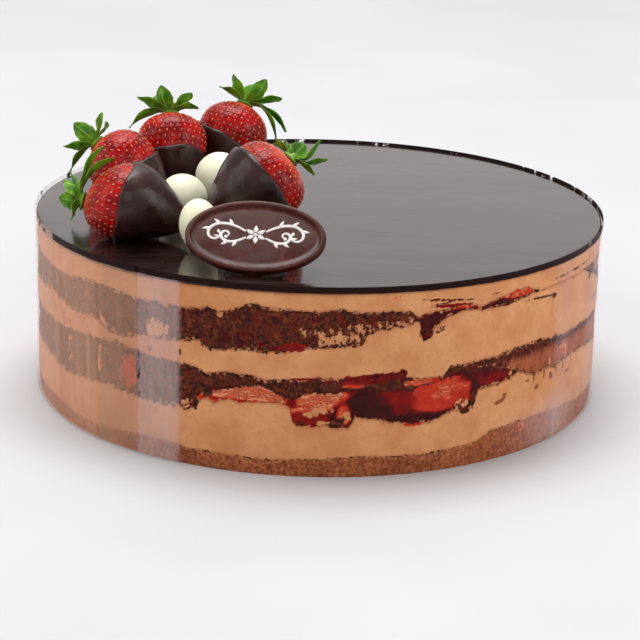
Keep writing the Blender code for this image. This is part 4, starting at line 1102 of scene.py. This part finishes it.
def flourish(material):
    """A plain piped ornament on the plaque's face: a blossom between curling scrolls with small leaves."""
    foot, across, slope, face = plaque_frame()
    level = PLAQUE_THICKNESS - PLAQUE_RIM[1] + 0.06 * MM
    points, faces = [], []
    profile = ((-1, 0), (-0.7, 0.75), (0, 1), (0.7, 0.75), (1, 0))

    def ribbon(path, widths, high=0.35 * MM):
        """A raised stroke with a rounded back along a path on the face."""
        strip = tube_faces(len(path), len(profile), len(points), "flat")
        faces.extend(quad[::-1] for quad in strip)
        for index, ((x, y), wide) in enumerate(zip(path, widths)):
            before, after = path[max(index - 1, 0)], path[min(index + 1, len(path) - 1)]
            dx, dy = after[0] - before[0], after[1] - before[1]
            size = math.hypot(dx, dy) or 1
            for out, up in profile:
                right, rise = x - dy / size * wide * out, y + dx / size * wide * out
                here = foot + across * right + slope * (rise + PLAQUE_HALF[1])
                points.append(here + face * (level + up * high))

    def petal(x, y, heading, size, wide):
        shares = np.linspace(0.02, 1, 13)
        ribbon([(x + size * s * math.cos(heading), y + size * s * math.sin(heading)) for s in shares],
               [0.05 * MM + wide * math.sin(math.pi * s ** 0.75) for s in shares], 0.45 * MM)

    middle, bud, steps = 0.6 * MM, 0.9 * MM, 64
    for turn in ring_turns(6):
        turn += math.pi / 6
        petal(bud * math.cos(turn), middle + bud * math.sin(turn), turn, 3.1 * MM, 0.85 * MM)
    petal(-0.8 * MM, middle, 0, 1.6 * MM, 0.75 * MM)
    for way, rise, length, bend in ((1, 1, 25, 4.9), (-1, 1, 25, 4.9), (1, -1, 17, 5.4), (-1, -1, 17, 5.4)):
        x, y = 3.4 * MM * way, middle + 1.2 * MM * rise
        path, headings = [], []
        for k in range(steps):
            s = k / (steps - 1)
            heading = math.radians(34) - 0.9 * s - bend * s ** 3
            x += way * math.cos(heading) * length * MM / steps
            y += rise * math.sin(heading) * length * MM / steps
            path.append((x, y))
            headings.append(math.atan2(rise * math.sin(heading), way * math.cos(heading)))
        widths = [0.24 + 0.36 * math.sin(math.pi * (0.15 + 0.8 * k / steps)) for k in range(steps)]
        ribbon(path, [wide * MM for wide in widths])
        for at in (14, 26, 37):
            petal(*path[at], headings[at] + 0.75 * way * rise, 3.0 * MM, 0.6 * MM)
        petal(*path[-1], headings[-1], 1.3 * MM, 0.7 * MM)
    mesh_piece("plaque_flourish", points, faces, material, "white")


def toppings():
    dipped = chocolate_material("dip_chocolate", srgb(36, 14, 12), srgb(56, 29, 26), 0.3, 0.5 * MM, 0.36)
    moulded = chocolate_material("plaque_chocolate", srgb(60, 18, 12), srgb(74, 26, 18), 0.28, 0.06 * MM,
                                 0.26)
    materials = {"berry": berry_material(), "seed": seed_material(), "leaf": leaf_material(), "dip": dipped}
    for name, values in BERRIES.items():
        berry = Berry(**values)
        strawberry(name, berry, values["dip"], materials)
        crown_of_leaves(name, berry, values["leaves"], materials["leaf"])
    white = white_material()
    for index in (1, 2, 3):
        ball(index, white)
    plaque(moulded)
    dab(dipped)
    flourish(icing_material())


def floor():
    """A plain pale floor that ends where the light no longer reaches."""
    side, front, back = 1.3, -1.0, 1.6
    mesh = bpy.data.meshes.new("floor")
    corners = [(-side, front, 0), (side, front, 0), (side, back, 0), (-side, back, 0)]
    mesh.from_pydata(corners, [], [(0, 1, 2, 3)])
    g = Graph("floor")
    tint = g.mix(g.patchy(240, 3, 0.35, 0.7), srgb(202, 202, 204), srgb(207, 207, 209))
    g.set(Base_Color=tint, Roughness=g.patchy(60, 2, 0.3, 0.7, 0.8, 0.95))
    g.set(Specular_IOR_Level=0.1)
    mesh.materials.append(g.material)
    ground = bpy.data.objects.new("floor", mesh)
    bpy.context.scene.collection.objects.link(ground)


def area_light(name, place, target, size, power, colour=(1, 1, 1)):
    data = bpy.data.lights.new(name, "AREA")
    data.shape = "RECTANGLE"
    data.size, data.size_y = size
    data.energy, data.color = power, colour
    lamp = bpy.data.objects.new(name, data)
    lamp.location = place
    lamp.rotation_euler = (Vector(target) - Vector(place)).to_track_quat("-Z", "Y").to_euler()
    bpy.context.scene.collection.objects.link(lamp)


def light():
    """Soft studio light: a pale surround that is brighter low down and behind, and five soft boxes."""
    world = bpy.data.worlds.new("studio")
    bpy.context.scene.world = world
    world.use_nodes = True
    tree = world.node_tree
    way = tree.nodes.new("ShaderNodeTexCoord")
    split = tree.nodes.new("ShaderNodeSeparateXYZ")
    ramp = tree.nodes.new("ShaderNodeValToRGB")
    tree.links.new(way.outputs["Generated"], split.inputs[0])
    tree.links.new(split.outputs["Z"], ramp.inputs["Fac"])
    first, last = ramp.color_ramp.elements
    first.position, first.color = 0.06, (2.1, 2.1, 2.12, 1)
    last.position, last.color = 0.85, (0.5, 0.5, 0.52, 1)
    for position, grey in ((0.14, 1.05), (0.22, 1.05), (0.34, 0.84), (0.48, 0.8)):
        ramp.color_ramp.elements.new(position).color = (grey, grey * 0.98, grey * 0.975, 1)
    behind = tree.nodes.new("ShaderNodeMapRange")
    for key, value in (("From Min", -1), ("From Max", 1), ("To Min", 0.32), ("To Max", 0.66)):
        behind.inputs[key].default_value = value
    tree.links.new(split.outputs["Y"], behind.inputs["Value"])
    tree.links.new(ramp.outputs["Color"], tree.nodes["Background"].inputs["Color"])
    tree.links.new(behind.outputs["Result"], tree.nodes["Background"].inputs["Strength"])
    area_light("overhead", (-0.1, 0.4, 2.0), (0, 0, 0.05), (1.4, 1.0), 36)
    area_light("left_window", (-0.95, -0.25, 0.7), (0, 0, 0.05), (0.7, 0.8), 3.2, (1, 0.99, 0.97))
    area_light("right_window", (1.05, -0.5, 0.7), (0, 0, 0.05), (0.6, 0.8), 4.6)
    area_light("front_fill", (0.1, -1.3, 0.9), (0, 0, 0.04), (1.2, 0.7), 3.6)
    area_light("far_floor", (0, 2.0, 2.1), (0, 2.0, 0), (3.4, 1.4), 24)


def camera():
    data = bpy.data.cameras.new("camera")
    data.lens, data.sensor_width = LENS, 36
    data.clip_start, data.clip_end = 0.02, 20
    cam = bpy.data.objects.new("camera", data)
    bpy.context.scene.collection.objects.link(cam)
    elevation, pitch, yaw = (math.radians(a) for a in (CAMERA_ELEVATION, CAMERA_PITCH, CAMERA_YAW))
    ahead = Vector((math.sin(yaw) * math.cos(pitch), math.cos(yaw) * math.cos(pitch), -math.sin(pitch)))
    back, up = CAMERA_DISTANCE * math.cos(elevation), CAMERA_DISTANCE * math.sin(elevation)
    place = Matrix.Translation((0, -back, up))
    turn = ahead.to_track_quat("-Z", "Y").to_matrix().to_4x4()
    cam.matrix_world = place @ turn @ Matrix.Rotation(math.radians(CAMERA_ROLL), 4, "Z")
    bpy.context.scene.camera = cam


glaze(cake_side())
film()
toppings()
floor()
light()
camera()
bpy.context.scene.view_settings.view_transform = "Standard"
